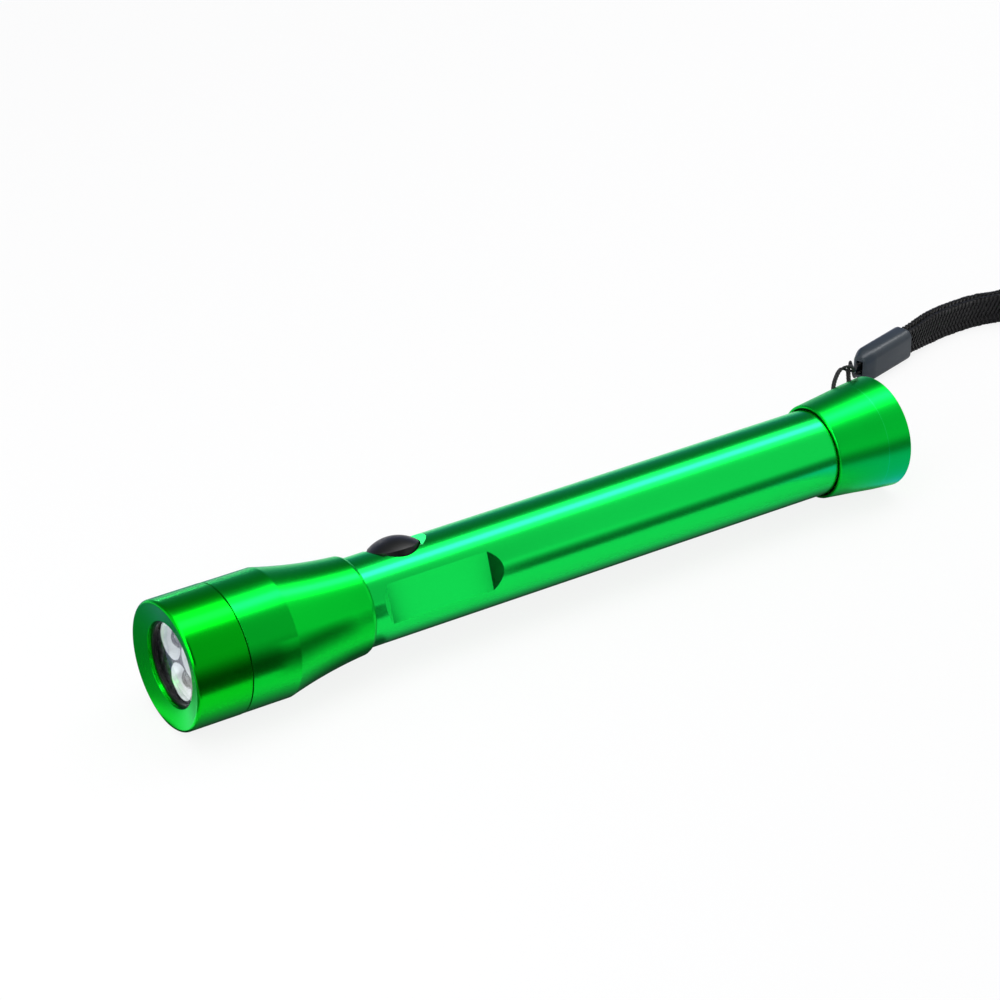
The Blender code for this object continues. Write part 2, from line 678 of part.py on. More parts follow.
# Button: a hollow rubber dome with a boss inside and a flange that follows the tube's bore
crown_r = (BUTTON_R * BUTTON_R + BUTTON_CROWN * BUTTON_CROWN) / (2 * BUTTON_CROWN)
crown_half = math.asin(BUTTON_R / crown_r)
button_outline = [(BUTTON_TOP, 0.0)]
for step in range(1, CURVE_STEPS + 1):
    angle = crown_half * step / CURVE_STEPS
    button_outline.append((BUTTON_TOP - crown_r * (1.0 - math.cos(angle)), crown_r * math.sin(angle)))
button_outline += [
    (BUTTON_BASE, BUTTON_R),
    (BUTTON_BASE, BUTTON_R - BUTTON_WALL),
    (BUTTON_RIM - BUTTON_WALL, BUTTON_R - BUTTON_WALL),
    (BUTTON_RIM - BUTTON_WALL, BOSS_R),
    (PLUNGER_TOP + SEAT_GAP, BOSS_R),
    (PLUNGER_TOP + SEAT_GAP, 0.0),
]
button_mesh = turned_mesh("button", button_outline, "Z")
button = add_object("button", button_mesh, black_rubber, torch, button_place)
flange_outline = [
    (BUTTON_BASE, BUTTON_FLANGE_R),
    (BUTTON_BASE, BUTTON_R - 0.5 * BUTTON_WALL),
    (TUBE_R, BUTTON_R - 0.5 * BUTTON_WALL),
    (TUBE_R, BUTTON_FLANGE_R),
]
flange_mesh = turned_mesh("button_flange", flange_outline, "Z")
flange = add_object("button_flange", flange_mesh, None, torch, button_place)
bore_outline = [
    (BUTTON_STATION - 2 * BUTTON_FLANGE_R, 0.0),
    (BUTTON_STATION - 2 * BUTTON_FLANGE_R, BUTTON_FLANGE_TOP_R),
    (BUTTON_STATION + 2 * BUTTON_FLANGE_R, BUTTON_FLANGE_TOP_R),
    (BUTTON_STATION + 2 * BUTTON_FLANGE_R, 0.0),
]
bore_form = turned_piece("button_bore_form", bore_outline, None, torch)
combine(flange, bore_form, "INTERSECT")
combine(button, flange, "UNION")

# Switch: a square body with a plunger hole on top and two pins below
plunger_outline = [
    (PLUNGER_TOP, 0.0),
    (PLUNGER_TOP, PLUNGER_R),
    (PLUNGER_TOP - PLUNGER_LENGTH, PLUNGER_R),
    (PLUNGER_TOP - PLUNGER_LENGTH, 0.0),
]
plunger_mesh = turned_mesh("switch_plunger", plunger_outline, "Z", SMALL_SIDES)
add_object("switch_plunger", plunger_mesh, white_plastic, torch, button_place)
switch_half = SWITCH_SIDE / 2
switch_low = (-switch_half, -switch_half, SWITCH_BASE)
switch_high = (switch_half, switch_half, SWITCH_TOP)
switch_mesh = box_mesh("switch_body", switch_low, switch_high)
switch = add_object("switch_body", switch_mesh, black_plastic, torch, button_place)
well_outline = [
    (PLUNGER_TOP - PLUNGER_LENGTH - BUTTON_TRAVEL - SEAT_GAP, 0.0),
    (PLUNGER_TOP - PLUNGER_LENGTH - BUTTON_TRAVEL - SEAT_GAP, PLUNGER_R + SEAT_GAP),
    (SWITCH_TOP + CUT_OVERRUN, PLUNGER_R + SEAT_GAP),
    (SWITCH_TOP + CUT_OVERRUN, 0.0),
]
well_mesh = turned_mesh("plunger_well", well_outline, "Z", SMALL_SIDES)
combine(switch, add_object("plunger_well", well_mesh, None, torch, button_place), "DIFFERENCE")

# Carrier: a plug that fills the tube's bore, with a shelf, a switch pocket and a contact groove
carrier_outline = [
    (CARRIER_FRONT, 0.0),
    (CARRIER_FRONT, CARRIER_R),
    (CARRIER_REAR, CARRIER_R),
    (CARRIER_REAR, 0.0),
]
carrier = turned_piece("switch_carrier", carrier_outline, black_plastic, torch)


def carrier_cut(name, start, end, half_width, low, high):
    corner = (along_torch(start), -half_width, low)
    opposite = (along_torch(end), half_width, high)
    combine(carrier, add_object(name, box_mesh(name, corner, opposite), None, torch), "DIFFERENCE")


pocket_half = switch_half + SEAT_GAP
carrier_cut("carrier_shelf", BUTTON_STATION - CARRIER_SHELF_HALF, BUTTON_STATION + CARRIER_SHELF_HALF,
            CARRIER_R + CUT_OVERRUN, SHELF_LEVEL, CARRIER_R + CUT_OVERRUN)
carrier_cut("switch_pocket", BUTTON_STATION - pocket_half, BUTTON_STATION + pocket_half,
            pocket_half, POCKET_BASE, CARRIER_R)
carrier_cut("contact_groove", CARRIER_FRONT - CUT_OVERRUN, CARRIER_REAR + CUT_OVERRUN,
            CONTACT_WIDTH / 2 + SEAT_GAP, -CARRIER_R - CUT_OVERRUN, GROOVE_TOP)
strip_top = GROOVE_TOP - SEAT_GAP
for side in (-1, 1):
    pin_x = side * SWITCH_PIN_PITCH / 2
    pin_outline = [
        (strip_top + SEAT_GAP, 0.0),
        (strip_top + SEAT_GAP, SWITCH_PIN_R),
        (SWITCH_BASE + 0.5 * MM, SWITCH_PIN_R),
        (SWITCH_BASE + 0.5 * MM, 0.0),
    ]
    pin_place = (along_torch(BUTTON_STATION) + pin_x, 0.0, 0.0)
    pin_mesh = turned_mesh("switch_pin", pin_outline, "Z", RING_SIDES)
    combine(switch, add_object("switch_pin", pin_mesh, None, torch, pin_place), "UNION")
    pin_hole_outline = [
        (GROOVE_TOP - CUT_OVERRUN, 0.0),
        (GROOVE_TOP - CUT_OVERRUN, SWITCH_PIN_R + SEAT_GAP),
        (POCKET_BASE + CUT_OVERRUN, SWITCH_PIN_R + SEAT_GAP),
        (POCKET_BASE + CUT_OVERRUN, 0.0),
    ]
    pin_hole_mesh = turned_mesh("pin_hole", pin_hole_outline, "Z", RING_SIDES)
    combine(carrier, add_object("pin_hole", pin_hole_mesh, None, torch, pin_place), "DIFFERENCE")


# Contacts: bent brass strips from each end of the carrier to a switch pin
def contact(name, face, foot, outward):
    inner = along_torch(face) + outward * SEAT_GAP
    outer = inner + outward * CONTACT_THICKNESS
    strip_base = strip_top - CONTACT_THICKNESS
    outline = [
        (along_torch(foot), strip_top),
        (inner, strip_top),
        (inner, CONTACT_TOP),
        (outer, CONTACT_TOP),
        (outer, strip_base),
        (along_torch(foot), strip_base),
    ]
    mesh = prism_mesh(name, outline, -CONTACT_WIDTH / 2, CONTACT_WIDTH / 2)
    add_object(name, mesh, brass, torch)


contact("front_contact", CARRIER_FRONT, BUTTON_STATION - CONTACT_SPLIT / 2, -1)
contact("rear_contact", CARRIER_REAR, BUTTON_STATION + CONTACT_SPLIT / 2, 1)

# Front spring: links the front contact to the circuit board
front_spring_rear = CARRIER_FRONT - 2 * SEAT_GAP - CONTACT_THICKNESS - FRONT_SPRING_WIRE / 2
front_spring_front = BOARD_REAR + SEAT_GAP + FRONT_SPRING_WIRE / 2
front_coil = coil_route(along_torch(front_spring_front), along_torch(front_spring_rear),
                        FRONT_SPRING_R, FRONT_SPRING_R, FRONT_SPRING_CURLS,
                        FRONT_SPRING_WIRE + SPRING_END_GAP)
front_curve = tube_curve("front_spring", front_coil, FRONT_SPRING_WIRE / 2, 1)
add_object("front_spring", front_curve, spring_steel, torch)
print("front spring, least gap to itself in mm:",
      round(least_gap(front_coil, FRONT_SPRING_WIRE / 2, FRONT_SPRING_R) / MM, 3))


# Cells: two in line, raised contacts towards the head
def cell_outline(nub):
    shoulder = nub + CELL_NUB_LENGTH
    rear = nub + CELL_LENGTH
    return [
        (nub, 0.0),
        (nub, CELL_NUB_R),
        (shoulder, CELL_NUB_R),
        (shoulder, CELL_R - CELL_EDGE),
        (shoulder + CELL_EDGE, CELL_R),
        (rear - CELL_EDGE, CELL_R),
        (rear, CELL_R - CELL_EDGE),
        (rear, 0.0),
    ]


turned_piece("cell_front", cell_outline(CELL_FRONT_NUB), cell_wrap, torch)
turned_piece("cell_rear", cell_outline(CELL_REAR_NUB), cell_wrap, torch)

# Tail cap: a thin lip over the tube, a flared skirt, a closed end and a lanyard tunnel in its wall
cap_outline = [
    (CAP_FRONT, CAP_LIP_BORE_R),
    (CAP_FRONT, CAP_RIM_R - CAP_RIM_EDGE),
    (CAP_FRONT + CAP_RIM_EDGE, CAP_RIM_R),
    (CAP_FRONT + CAP_WAIST, CAP_WAIST_R),
    (CAP_FRONT + CAP_CREASE, CAP_CREASE_R),
    (TORCH_LENGTH - CAP_END_CHAMFER, CAP_END_R),
    (TORCH_LENGTH, CAP_END_R - CAP_END_CHAMFER),
    (TORCH_LENGTH, 0.0),
    (CAP_POCKET_FLOOR, 0.0),
    (CAP_POCKET_FLOOR, CAP_POCKET_R),
    (CAP_THREAD_END, CAP_POCKET_R),
    (CAP_THREAD_END, CAP_THREAD_R),
    (CAP_LIP_END, CAP_THREAD_R),
    (CAP_LIP_END, CAP_LIP_BORE_R),
]
outside_first = cap_outline[8:] + cap_outline[:8]
cap = turned_piece("tail_cap", outside_first, green, torch)
tunnel_outline = ring_outline(0.0, TUNNEL_RING_R, TUNNEL_R, TUNNEL_R, TUNNEL_SIDES)
tunnel_mesh = turned_mesh("lanyard_tunnel", tunnel_outline, "Z", SMALL_SIDES)
across_bore = Vector((0.0, math.sin(TUNNEL_TURN), math.cos(TUNNEL_TURN)))
tunnel_place = Vector((along_torch(TUNNEL_STATION), 0.0, 0.0)) + across_bore * TUNNEL_CENTRE_R
tunnel = add_object("lanyard_tunnel", tunnel_mesh, None, torch, tunnel_place)
tunnel.rotation_euler = (math.pi / 2 - TUNNEL_TURN, 0.0, 0.0)
combine(cap, tunnel, "DIFFERENCE")

# Tail spring: a tapering coil that presses on the rear cell
tail_tip = TAIL_SPRING_TIP + TAIL_SPRING_WIRE / 2
tail_base = TAIL_SPRING_BASE - TAIL_SPRING_WIRE / 2
tail_coil = coil_route(along_torch(tail_tip), along_torch(tail_base),
                       TAIL_SPRING_TIP_R, TAIL_SPRING_BASE_R, TAIL_SPRING_CURLS,
                       TAIL_SPRING_WIRE + SPRING_END_GAP)
tail_curve = tube_curve("tail_spring", tail_coil, TAIL_SPRING_WIRE / 2, 1)
add_object("tail_spring", tail_curve, spring_steel, torch)
print("tail spring, least gap to itself in mm:",
      round(least_gap(tail_coil, TAIL_SPRING_WIRE / 2, TAIL_SPRING_TIP_R) / MM, 3))

# Sleeve: a chamfered plastic grip with a tapered nose, lying on the ground behind the tail cap
torch_frame = Matrix.LocRotScale(torch.location, torch.rotation_euler, None)
tunnel_centre = torch_frame @ tunnel_place
SLEEVE_FROM_TUNNEL = Vector((30.66 * MM, 30.74 * MM))
SLEEVE_HEADING = math.radians(15.5)
sleeve_place = Vector((tunnel_centre.x + SLEEVE_FROM_TUNNEL.x, tunnel_centre.y + SLEEVE_FROM_TUNNEL.y,
                       GROUND_GAP + SLEEVE_HEIGHT / 2))


def chamfered_corners(half_y, half_z, cut):
    return [
        (half_y - cut, half_z), (half_y, half_z - cut), (half_y, cut - half_z), (half_y - cut, -half_z),
        (cut - half_y, -half_z), (-half_y, cut - half_z), (-half_y, half_z - cut), (cut - half_y, half_z),
    ]


def sleeve_section(shape, along, shrink):
    half_y = SLEEVE_THICKNESS / 2 - shrink
    half_z = SLEEVE_HEIGHT / 2 - shrink
    corners = chamfered_corners(half_y, half_z, SLEEVE_CHAMFER)
    return [shape.verts.new((along, y, z)) for y, z in corners]


def loft(shape, sections):
    for section, following in zip(sections, sections[1:]):
        for index in range(len(section)):
            follower = (index + 1) % len(section)
            shape.faces.new((section[index], section[follower], following[follower], following[index]))
    shape.faces.new(sections[0])
    shape.faces.new(sections[-1])


sleeve_shape = bmesh.new()
sleeve_sections = [
    sleeve_section(sleeve_shape, 0.0, SLEEVE_NOSE_SHRINK),
    sleeve_section(sleeve_shape, SLEEVE_NOSE, 0.0),
    sleeve_section(sleeve_shape, SLEEVE_LENGTH, 0.0),
]
loft(sleeve_shape, sleeve_sections)
sleeve_mesh = finish_mesh("strap_sleeve", sleeve_shape)
sleeve = add_object("strap_sleeve", sleeve_mesh, sleeve_grey, None, sleeve_place)
sleeve.rotation_euler = (0.0, 0.0, SLEEVE_HEADING)
mouth_low = (-CUT_OVERRUN, -MOUTH_WIDTH / 2, -MOUTH_HEIGHT / 2)
mouth_high = (MOUTH_DEPTH, MOUTH_WIDTH / 2, MOUTH_HEIGHT / 2)
mouth = add_object("sleeve_mouth", box_mesh("sleeve_mouth", mouth_low, mouth_high), None, sleeve)
combine(sleeve, mouth, "DIFFERENCE")
sleeve_frame = Matrix.LocRotScale(sleeve_place, sleeve.rotation_euler, None)


# Lanyard cord: doubled through the tunnel and hitched round its own two strands
def hitch_point(along, out, across):
    """A place given along the torch, out from the tunnel's centre and across the cap."""
    out_way = across_bore
    across_way = Vector((0.0, math.cos(TUNNEL_TURN), -math.sin(TUNNEL_TURN)))
    local = tunnel_place + Vector((along, 0.0, 0.0)) + out_way * out + across_way * across
    return torch_frame @ local


def strand_route(side):
    """Half of the cord, from the sleeve's mouth through the tunnel to the middle of the hitch."""
    ring = TUNNEL_RING_R
    half = side * STRAND_HALF
    mouth_rise = -side * (MOUTH_HEIGHT / 2 - SEAT_GAP - CORD_R)
    end = sleeve_frame @ Vector((MOUTH_DEPTH - SEAT_GAP, 0.0, mouth_rise))
    lip_point = sleeve_frame @ Vector((0.2 * MOUTH_DEPTH, 0.0, mouth_rise))
    mouth_point = sleeve_frame @ Vector((-1.2 * MM, 0.0, mouth_rise))
    rise = -side * STRAND_RISE
    over_hitch = hitch_point(5.4 * MM, 4.3 * MM + rise, 0.9 * MM)
    sag = Vector((0.0, 0.0, -1.6 * MM))
    points = [
        end,
        lip_point,
        mouth_point,
        mouth_point.lerp(over_hitch, 0.3) + 0.8 * sag,
        mouth_point.lerp(over_hitch, 0.65) + 0.8 * sag,
        over_hitch,
        hitch_point(4.2 * MM, 4.0 * MM + 0.6 * rise, 0.15 * MM + 0.9 * half),
        hitch_point(3.45 * MM, 3.1 * MM, half),
        hitch_point(2.9 * MM, 1.7 * MM, half),
        hitch_point(2.5 * MM, 0.5 * MM, half),
    ]
    for step in range(1, 6):
        angle = -math.pi * step / 6
        points.append(hitch_point(ring * math.cos(angle), ring * math.sin(angle), half))
    points += [
        hitch_point(-2.2 * MM, -0.3 * MM, half),
        hitch_point(-1.85 * MM, 0.6 * MM, half),
        hitch_point(-1.15 * MM, 1.6 * MM, 1.1 * half),
        hitch_point(-0.2 * MM, 2.6 * MM, 1.2 * half),
        hitch_point(0.9 * MM, 3.5 * MM, 1.5 * half),
        hitch_point(2.1 * MM, 4.0 * MM, 2.1 * half),
        hitch_point(3.2 * MM, 3.8 * MM, 2.8 * half),
        hitch_point(4.1 * MM, 3.15 * MM, 3.0 * half),
        hitch_point(4.7 * MM, 2.8 * MM, 1.6 * half),
    ]
    return points


bight = hitch_point(4.9 * MM, 2.65 * MM, 0.0)
cord_points = strand_route(-1) + [bight] + strand_route(1)[::-1]
HITCH_ZONE = 9.0 * MM
FINE_STEP = 1.15 * MM
COARSE_STEP = 4.0 * MM


def cord_step(point):
    return FINE_STEP if (point - tunnel_centre).length < HITCH_ZONE else COARSE_STEP


cord_route = smooth_route(cord_points, cord_step)
cord_curve = tube_curve("lanyard_cord", cord_route, CORD_R, 2)
add_object("lanyard_cord", cord_curve, cord_black)
print("lanyard cord, points:", len(cord_route), "least gap to itself in mm:",
      round(least_gap(cord_route, CORD_R, 4 * MM) / MM, 3))

# Wrist strap: one woven band that leaves the sleeve, opens into a loop and comes back, on its edge
strap_start = sleeve_frame @ Vector((SLEEVE_LENGTH + SEAT_GAP, 0.0, 0.0))
layer_step = STRAP_THICKNESS + STRAP_LAYER_GAP
near_start = Vector((math.sin(SLEEVE_HEADING), -math.cos(SLEEVE_HEADING))) * layer_step / 2
strap_route_mm = [
    (4.2, 0.1), (8.4, 1.2), (12.5, 2.0), (16.0, 2.4), (19.5, 2.55), (23.0, 2.5), (26.5, 2.1), (30.5, 1.1),
    (34.0, -0.4), (39.0, -3.0), (47.0, -6.8), (62.0, -11.5), (83.0, -15.0), (102.0, -13.0), (114.5, -5.0),
    (117.0, 5.5), (110.5, 15.5), (94.5, 20.5), (74.0, 18.5), (58.0, 12.5), (47.0, 7.0), (39.5, 3.7),
    (34.5, 2.65), (30.5, 2.95), (26.5, 3.95), (23.0, 4.35), (19.5, 4.4), (16.0, 4.25), (12.5, 3.85),
    (8.4, 3.05), (4.2, 1.95),
]
strap_points = [near_start]
strap_points += [Vector(place) * MM for place in strap_route_mm]
strap_points.append(-near_start)
STRAP_STEP = 3.6 * MM


def strap_step(point):
    return STRAP_STEP


strap_plan = smooth_route(strap_points, strap_step)
strap_shape = bmesh.new()
strap_sections = []
strap_middle = GROUND_GAP + STRAP_WIDTH / 2
for index, place in enumerate(strap_plan):
    widened = min((place - near_start).length, (place + near_start).length, STRAP_WIDENING) / STRAP_WIDENING
    widened *= widened * (3 - 2 * widened)
    half_height = (STRAP_END_WIDTH + (STRAP_WIDTH - STRAP_END_WIDTH) * widened) / 2
    ahead = strap_plan[min(index + 1, len(strap_plan) - 1)]
    behind = strap_plan[max(index - 1, 0)]
    heading = (ahead - behind).normalized()
    if index in (0, len(strap_plan) - 1):
        heading = Vector((math.cos(SLEEVE_HEADING), math.sin(SLEEVE_HEADING)))
        if index:
            heading = -heading
    sideways = Vector((-heading.y, heading.x))
    section = []
    for across, up in chamfered_corners(STRAP_THICKNESS / 2, half_height, STRAP_EDGE):
        corner = strap_start.xy + place + sideways * across
        section.append(strap_shape.verts.new((corner.x, corner.y, strap_middle + up)))
    strap_sections.append(section)
loft(strap_shape, strap_sections)
add_object("wrist_strap", finish_mesh("wrist_strap", strap_shape), strap_black)
strap_length = sum((after - before).length for before, after in zip(strap_plan, strap_plan[1:]))
print("wrist strap, sections:", len(strap_plan), "length in mm:", round(strap_length / MM, 1))
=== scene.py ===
import json
import math

import bmesh
import bpy
from mathutils import Matrix, Vector


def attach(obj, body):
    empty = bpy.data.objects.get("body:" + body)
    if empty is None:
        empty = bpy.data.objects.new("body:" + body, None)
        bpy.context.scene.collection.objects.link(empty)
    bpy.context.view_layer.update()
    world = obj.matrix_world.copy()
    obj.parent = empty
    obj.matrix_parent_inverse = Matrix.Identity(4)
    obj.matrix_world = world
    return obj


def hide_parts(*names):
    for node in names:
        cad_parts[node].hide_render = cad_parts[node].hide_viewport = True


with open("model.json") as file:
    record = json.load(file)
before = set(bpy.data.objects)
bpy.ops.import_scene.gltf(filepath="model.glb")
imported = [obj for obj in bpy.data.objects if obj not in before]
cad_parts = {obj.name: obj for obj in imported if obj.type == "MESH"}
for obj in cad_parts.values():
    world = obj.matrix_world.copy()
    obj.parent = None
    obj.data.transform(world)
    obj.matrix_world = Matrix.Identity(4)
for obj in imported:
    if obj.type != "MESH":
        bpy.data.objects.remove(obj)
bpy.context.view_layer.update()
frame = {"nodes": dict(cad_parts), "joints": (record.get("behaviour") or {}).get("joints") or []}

# Camera
# A long lens on a 36 mm sensor looks down on the torch from its head end,
# so that the flared head is nearest and the strap runs out of the right edge.
scene = bpy.context.scene
scene.view_settings.view_transform = "Standard"


def add_object(name, data):
    """Put an object with this data into the scene."""
    thing = bpy.data.objects.new(name, data)
    scene.collection.objects.link(thing)
    return thing


lens_data = bpy.data.cameras.new("camera")
lens_data.sensor_width = 36.0
lens_data.lens = 128.45
camera = add_object("camera", lens_data)
camera.location = (-0.3652, -0.53996, 0.40434)
looking_along = Vector((0.4743, 0.7217, -0.5042))
camera.rotation_euler = looking_along.to_track_quat("-Z", "Y").to_euler()
scene.camera = camera

# The torch's own axes
# Every turned piece is drawn in millimetres along the torch: X from the bezel's front face
# towards the tail, Z up through the button. This matrix takes that drawing to the CAD frame.
joints = {joint["name"]: joint for joint in frame["joints"]}
tail_way = Vector(joints["tail_cap_turn"]["axis"]).normalized()
on_axis = Vector(joints["tail_cap_turn"]["pos_m"])
button_way = -Vector(joints["button_press"]["axis"]).normalized()
far_way = button_way.cross(tail_way)
HALF_LENGTH = 0.091
front_centre = on_axis - tail_way * (on_axis.x / tail_way.x) - tail_way * HALF_LENGTH
turned_axes = Matrix((tail_way, far_way, button_way)).transposed().to_4x4()
MILLIMETRES, AS_DRAWN = Matrix.Scale(0.001, 4), Matrix.Identity(4)
torch = Matrix.Translation(front_centre) @ turned_axes @ MILLIMETRES

# Reflector
# One moulded plastic drum with three parabolic cups, metallised inside the cups. The flat between them is
# coloured near black as a painted dark reflection. The bezel clamps its flange behind the lens.
CUP_RING_R, CUP_MOUTH_R, CUP_HOLE_R, CUP_WALL, CUP_STEPS = 5.0, 4.1, 2.75, 0.75, 20
REFLECTOR_FRONT, REFLECTOR_REAR, FLANGE_R, DRUM_R, DRUM_BORE_R = 4.6, 11.2, 12.0, 10.9, 9.5
CUP_ANGLES = [math.radians(angle) for angle in (53.0, 173.0, 293.0)]
FLANGE_REAR, DRUM_FLOOR, CUP_ENDS_APART, FLAT_FOUND = 5.6, 6.0, 0.04, 0.02
EASE_STEPS, SHARP_ANGLE, UV_RADIUS = 6, 17.0, 10.0


def bent(start, corner, end, steps):
    """Points of a curve that leaves its start towards a corner and comes to its end from there."""
    points = []
    for step in range(steps + 1):
        share = step / steps
        points.append(start.lerp(corner, share).lerp(corner.lerp(end, share), share))
    return points


def eased(outline):
    """Round the corners of an outline of (station, radius, ease) points."""
    points = []
    for index, (along, radius, ease) in enumerate(outline):
        corner = Vector((along, radius))
        if not ease:
            points.append(corner)
            continue
        to_last = Vector(outline[index - 1][:2]) - corner
        to_next = Vector(outline[(index + 1) % len(outline)][:2]) - corner
        start = corner + to_last.normalized() * ease
        end = corner + to_next.normalized() * ease
        if to_last.length > 3 * ease:
            points.append(corner + to_last.normalized() * 1.5 * ease)
        points += bent(start, corner, end, EASE_STEPS)
        if to_next.length > 3 * ease:
            points.append(corner + to_next.normalized() * 1.5 * ease)
    return points


def closed_mesh(name, shape):
    """Make a mesh of a bmesh, with its faces pointing outwards."""
    bmesh.ops.recalc_face_normals(shape, faces=shape.faces)
    mesh = bpy.data.meshes.new(name)
    shape.to_mesh(mesh)
    shape.free()
    return mesh


def turned_mesh(name, points, sides=192):
    """Spin (station, radius) points about X, with a UV map in mm: round the piece, along its outline."""
    shape = bmesh.new()
    uv_layer = shape.loops.layers.uv.new("turning")
    solid = points[0][1] == 0.0 and points[-1][1] == 0.0
    rings = []
    for along, radius in points:
        if radius == 0.0:
            rings.append([shape.verts.new((along, 0.0, 0.0))] * sides)
            continue
        ring = []
        for side in range(sides):
            angle = math.tau * side / sides
            ring.append(shape.verts.new((along, -radius * math.sin(angle), -radius * math.cos(angle))))
        rings.append(ring)
    travelled = [0.0]
    order = list(range(len(points))) + ([] if solid else [0])
    for first, second in zip(order, order[1:]):
        step = Vector(points[second]) - Vector(points[first])
        travelled.append(travelled[-1] + step.length)
    for place, (first, second) in enumerate(zip(order, order[1:])):
        for side in range(sides):
            after = (side + 1) % sides
            corners = [(rings[first][side], side, 0), (rings[first][after], side + 1, 0),
                       (rings[second][after], side + 1, 1), (rings[second][side], side, 1)]
            if points[first][1] == 0.0:
                corners.pop(1)
            elif points[second][1] == 0.0:
                corners.pop(2)
            face = shape.faces.new([vert for vert, _, _ in corners])
            for loop, (_, column, row) in zip(face.loops, corners):
                around = UV_RADIUS * math.tau * column / sides
                loop[uv_layer].uv = (around, travelled[place + row])
    return closed_mesh(name, shape)


def soften(mesh, sharp=SHARP_ANGLE):
    """Shade a mesh smooth, but for edges that turn by more than this angle in degrees."""
    mesh.shade_smooth()
    mesh.set_sharp_from_angle(angle=math.radians(sharp))


def add_piece(name, mesh, material, place=torch):
    """Put a mesh drawn in mm into the CAD frame, smooth but for its sharp edges."""
    mesh.transform(place)
    soften(mesh)
    if material:
        mesh.materials.append(material)
    return add_object(name, mesh)


def make_plain(piece):
    """Replace a piece's modifiers by the mesh that they give."""
    graph = bpy.context.evaluated_depsgraph_get()
    evaluated = piece.evaluated_get(graph)
    mesh = bpy.data.meshes.new_from_object(evaluated, preserve_all_data_layers=True, depsgraph=graph)
    piece.modifiers.clear()
    piece.data = mesh


def shape_with(piece, mesh, operation):
    """Join, cut or trim a piece with a mesh while both are still drawn in mm."""
    helper = add_object("helper", mesh)
    modifier = piece.modifiers.new(operation, "BOOLEAN")
    modifier.operation = operation
    modifier.solver = "EXACT"
    modifier.object = helper
    make_plain(piece)
    bpy.data.objects.remove(helper)


def settle(piece, place=torch):
    """Merge the double points that cutting leaves and put a piece drawn in mm into the CAD frame."""
    shape = bmesh.new()
    shape.from_mesh(piece.data)
    bmesh.ops.remove_doubles(shape, verts=shape.verts, dist=0.002)
    bmesh.ops.dissolve_degenerate(shape, edges=shape.edges, dist=0.001)
    shape.to_mesh(piece.data)
    shape.free()
    piece.data.transform(place)
    soften(piece.data)


def linear(hex_text):
    """Linear colour of an sRGB hex value."""
    channels = []
    for start in (0, 2, 4):
        level = int(hex_text[start:start + 2], 16) / 255
        channels.append(level / 12.92 if level <= 0.04045 else ((level + 0.055) / 1.055) ** 2.4)
    return (*channels, 1.0)


def add_node(tree, kind, inputs=None, **settings):
    """Add a node with its settings; an input is a value, another node's output, or a node for its first."""
    node = tree.nodes.new(kind)
    for name, value in settings.items():
        setattr(node, name, value)
    for key, value in (inputs or {}).items():
        if isinstance(value, bpy.types.Node):
            value = value.outputs[0]
        if isinstance(value, bpy.types.NodeSocket):
            tree.links.new(value, node.inputs[key])
        else:
            node.inputs[key].default_value = value
    return node


def start_material(name):
    """An empty material and its node tree."""
    material = bpy.data.materials.new(name)
    material.use_nodes = True
    material.node_tree.nodes.clear()
    return material, material.node_tree


def grained(name, noise, colour, roughness, relief=0.0, inputs=None, tone_noise=None, relief_noise=None,
            stretch=1.0):
    """A finish whose colour and roughness, where given as pairs, run between two values by a noise.

    A noise is its grain's width in mm and its detail. Relief is the depth in mm to which it dents the
    surface. Inputs are the shader's other values. Stretch draws the grain out along X.
    """
    material, tree = start_material(name)
    place = add_node(tree, "ShaderNodeTexCoord").outputs["Object"]
    if stretch != 1.0:
        place = add_node(tree, "ShaderNodeMapping", {"Vector": place, "Scale": (1 / stretch, 1.0, 1.0)})
    noises = {}
    for width, detail in {noise, tone_noise or noise, relief_noise or noise}:
        noises[width, detail] = add_node(tree, "ShaderNodeTexNoise", {
            "Vector": place, "Scale": 1000 / width, "Detail": detail})
    surface = dict(inputs or {})
    if isinstance(colour, tuple):
        tone = add_node(tree, "ShaderNodeValToRGB", {"Fac": noises[tone_noise or noise]})
        for element, hex_text in zip(tone.color_ramp.elements, colour):
            element.color = linear(hex_text)
        surface["Base Color"] = tone
    else:
        surface["Base Color"] = linear(colour)
    surface["Roughness"] = roughness
    if isinstance(roughness, tuple):
        surface["Roughness"] = add_node(tree, "ShaderNodeMapRange", {
            "Value": noises[noise], "To Min": roughness[0], "To Max": roughness[1]})
    if relief:
        surface["Normal"] = add_node(tree, "ShaderNodeBump", {
            "Height": noises[relief_noise or noise], "Distance": relief / 1000})
    shader = add_node(tree, "ShaderNodeBsdfPrincipled", surface)
    add_node(tree, "ShaderNodeOutputMaterial", {"Surface": shader})
    return material


# Vacuum-metallised plastic: a bright mirror whose slight orange peel breaks up the reflections
mirror = grained("vacuum_metallised_plastic", (1.11, 2.0), "F8FBFC", (0.16, 0.26), 0.03, {"Metallic": 0.6})
# The flat between the cups: coloured near black as a painted dark reflection of the shade it mirrors, with a
# hazy sheen
flat_dark_painted = grained("reflector_flat_painted_dark_reflection", (2.0, 4.0), ("101113", "3A3D40"), (0.15, 0.4))


def cup_outline(wall, front, rear):
    """A solid parabola round one diode: the outside of its cup to join, or the hollow to cut away."""
    points = [(front, 0.0)]
    for step in range(CUP_STEPS + 1):
        along = front + (rear - front) * step / CUP_STEPS
        share = (along - REFLECTOR_FRONT) / (REFLECTOR_REAR - REFLECTOR_FRONT)
        hollow = math.sqrt(CUP_MOUTH_R ** 2 + (CUP_HOLE_R ** 2 - CUP_MOUTH_R ** 2) * share)
        points.append((along, hollow + wall))
    return points + [(rear, 0.0)]


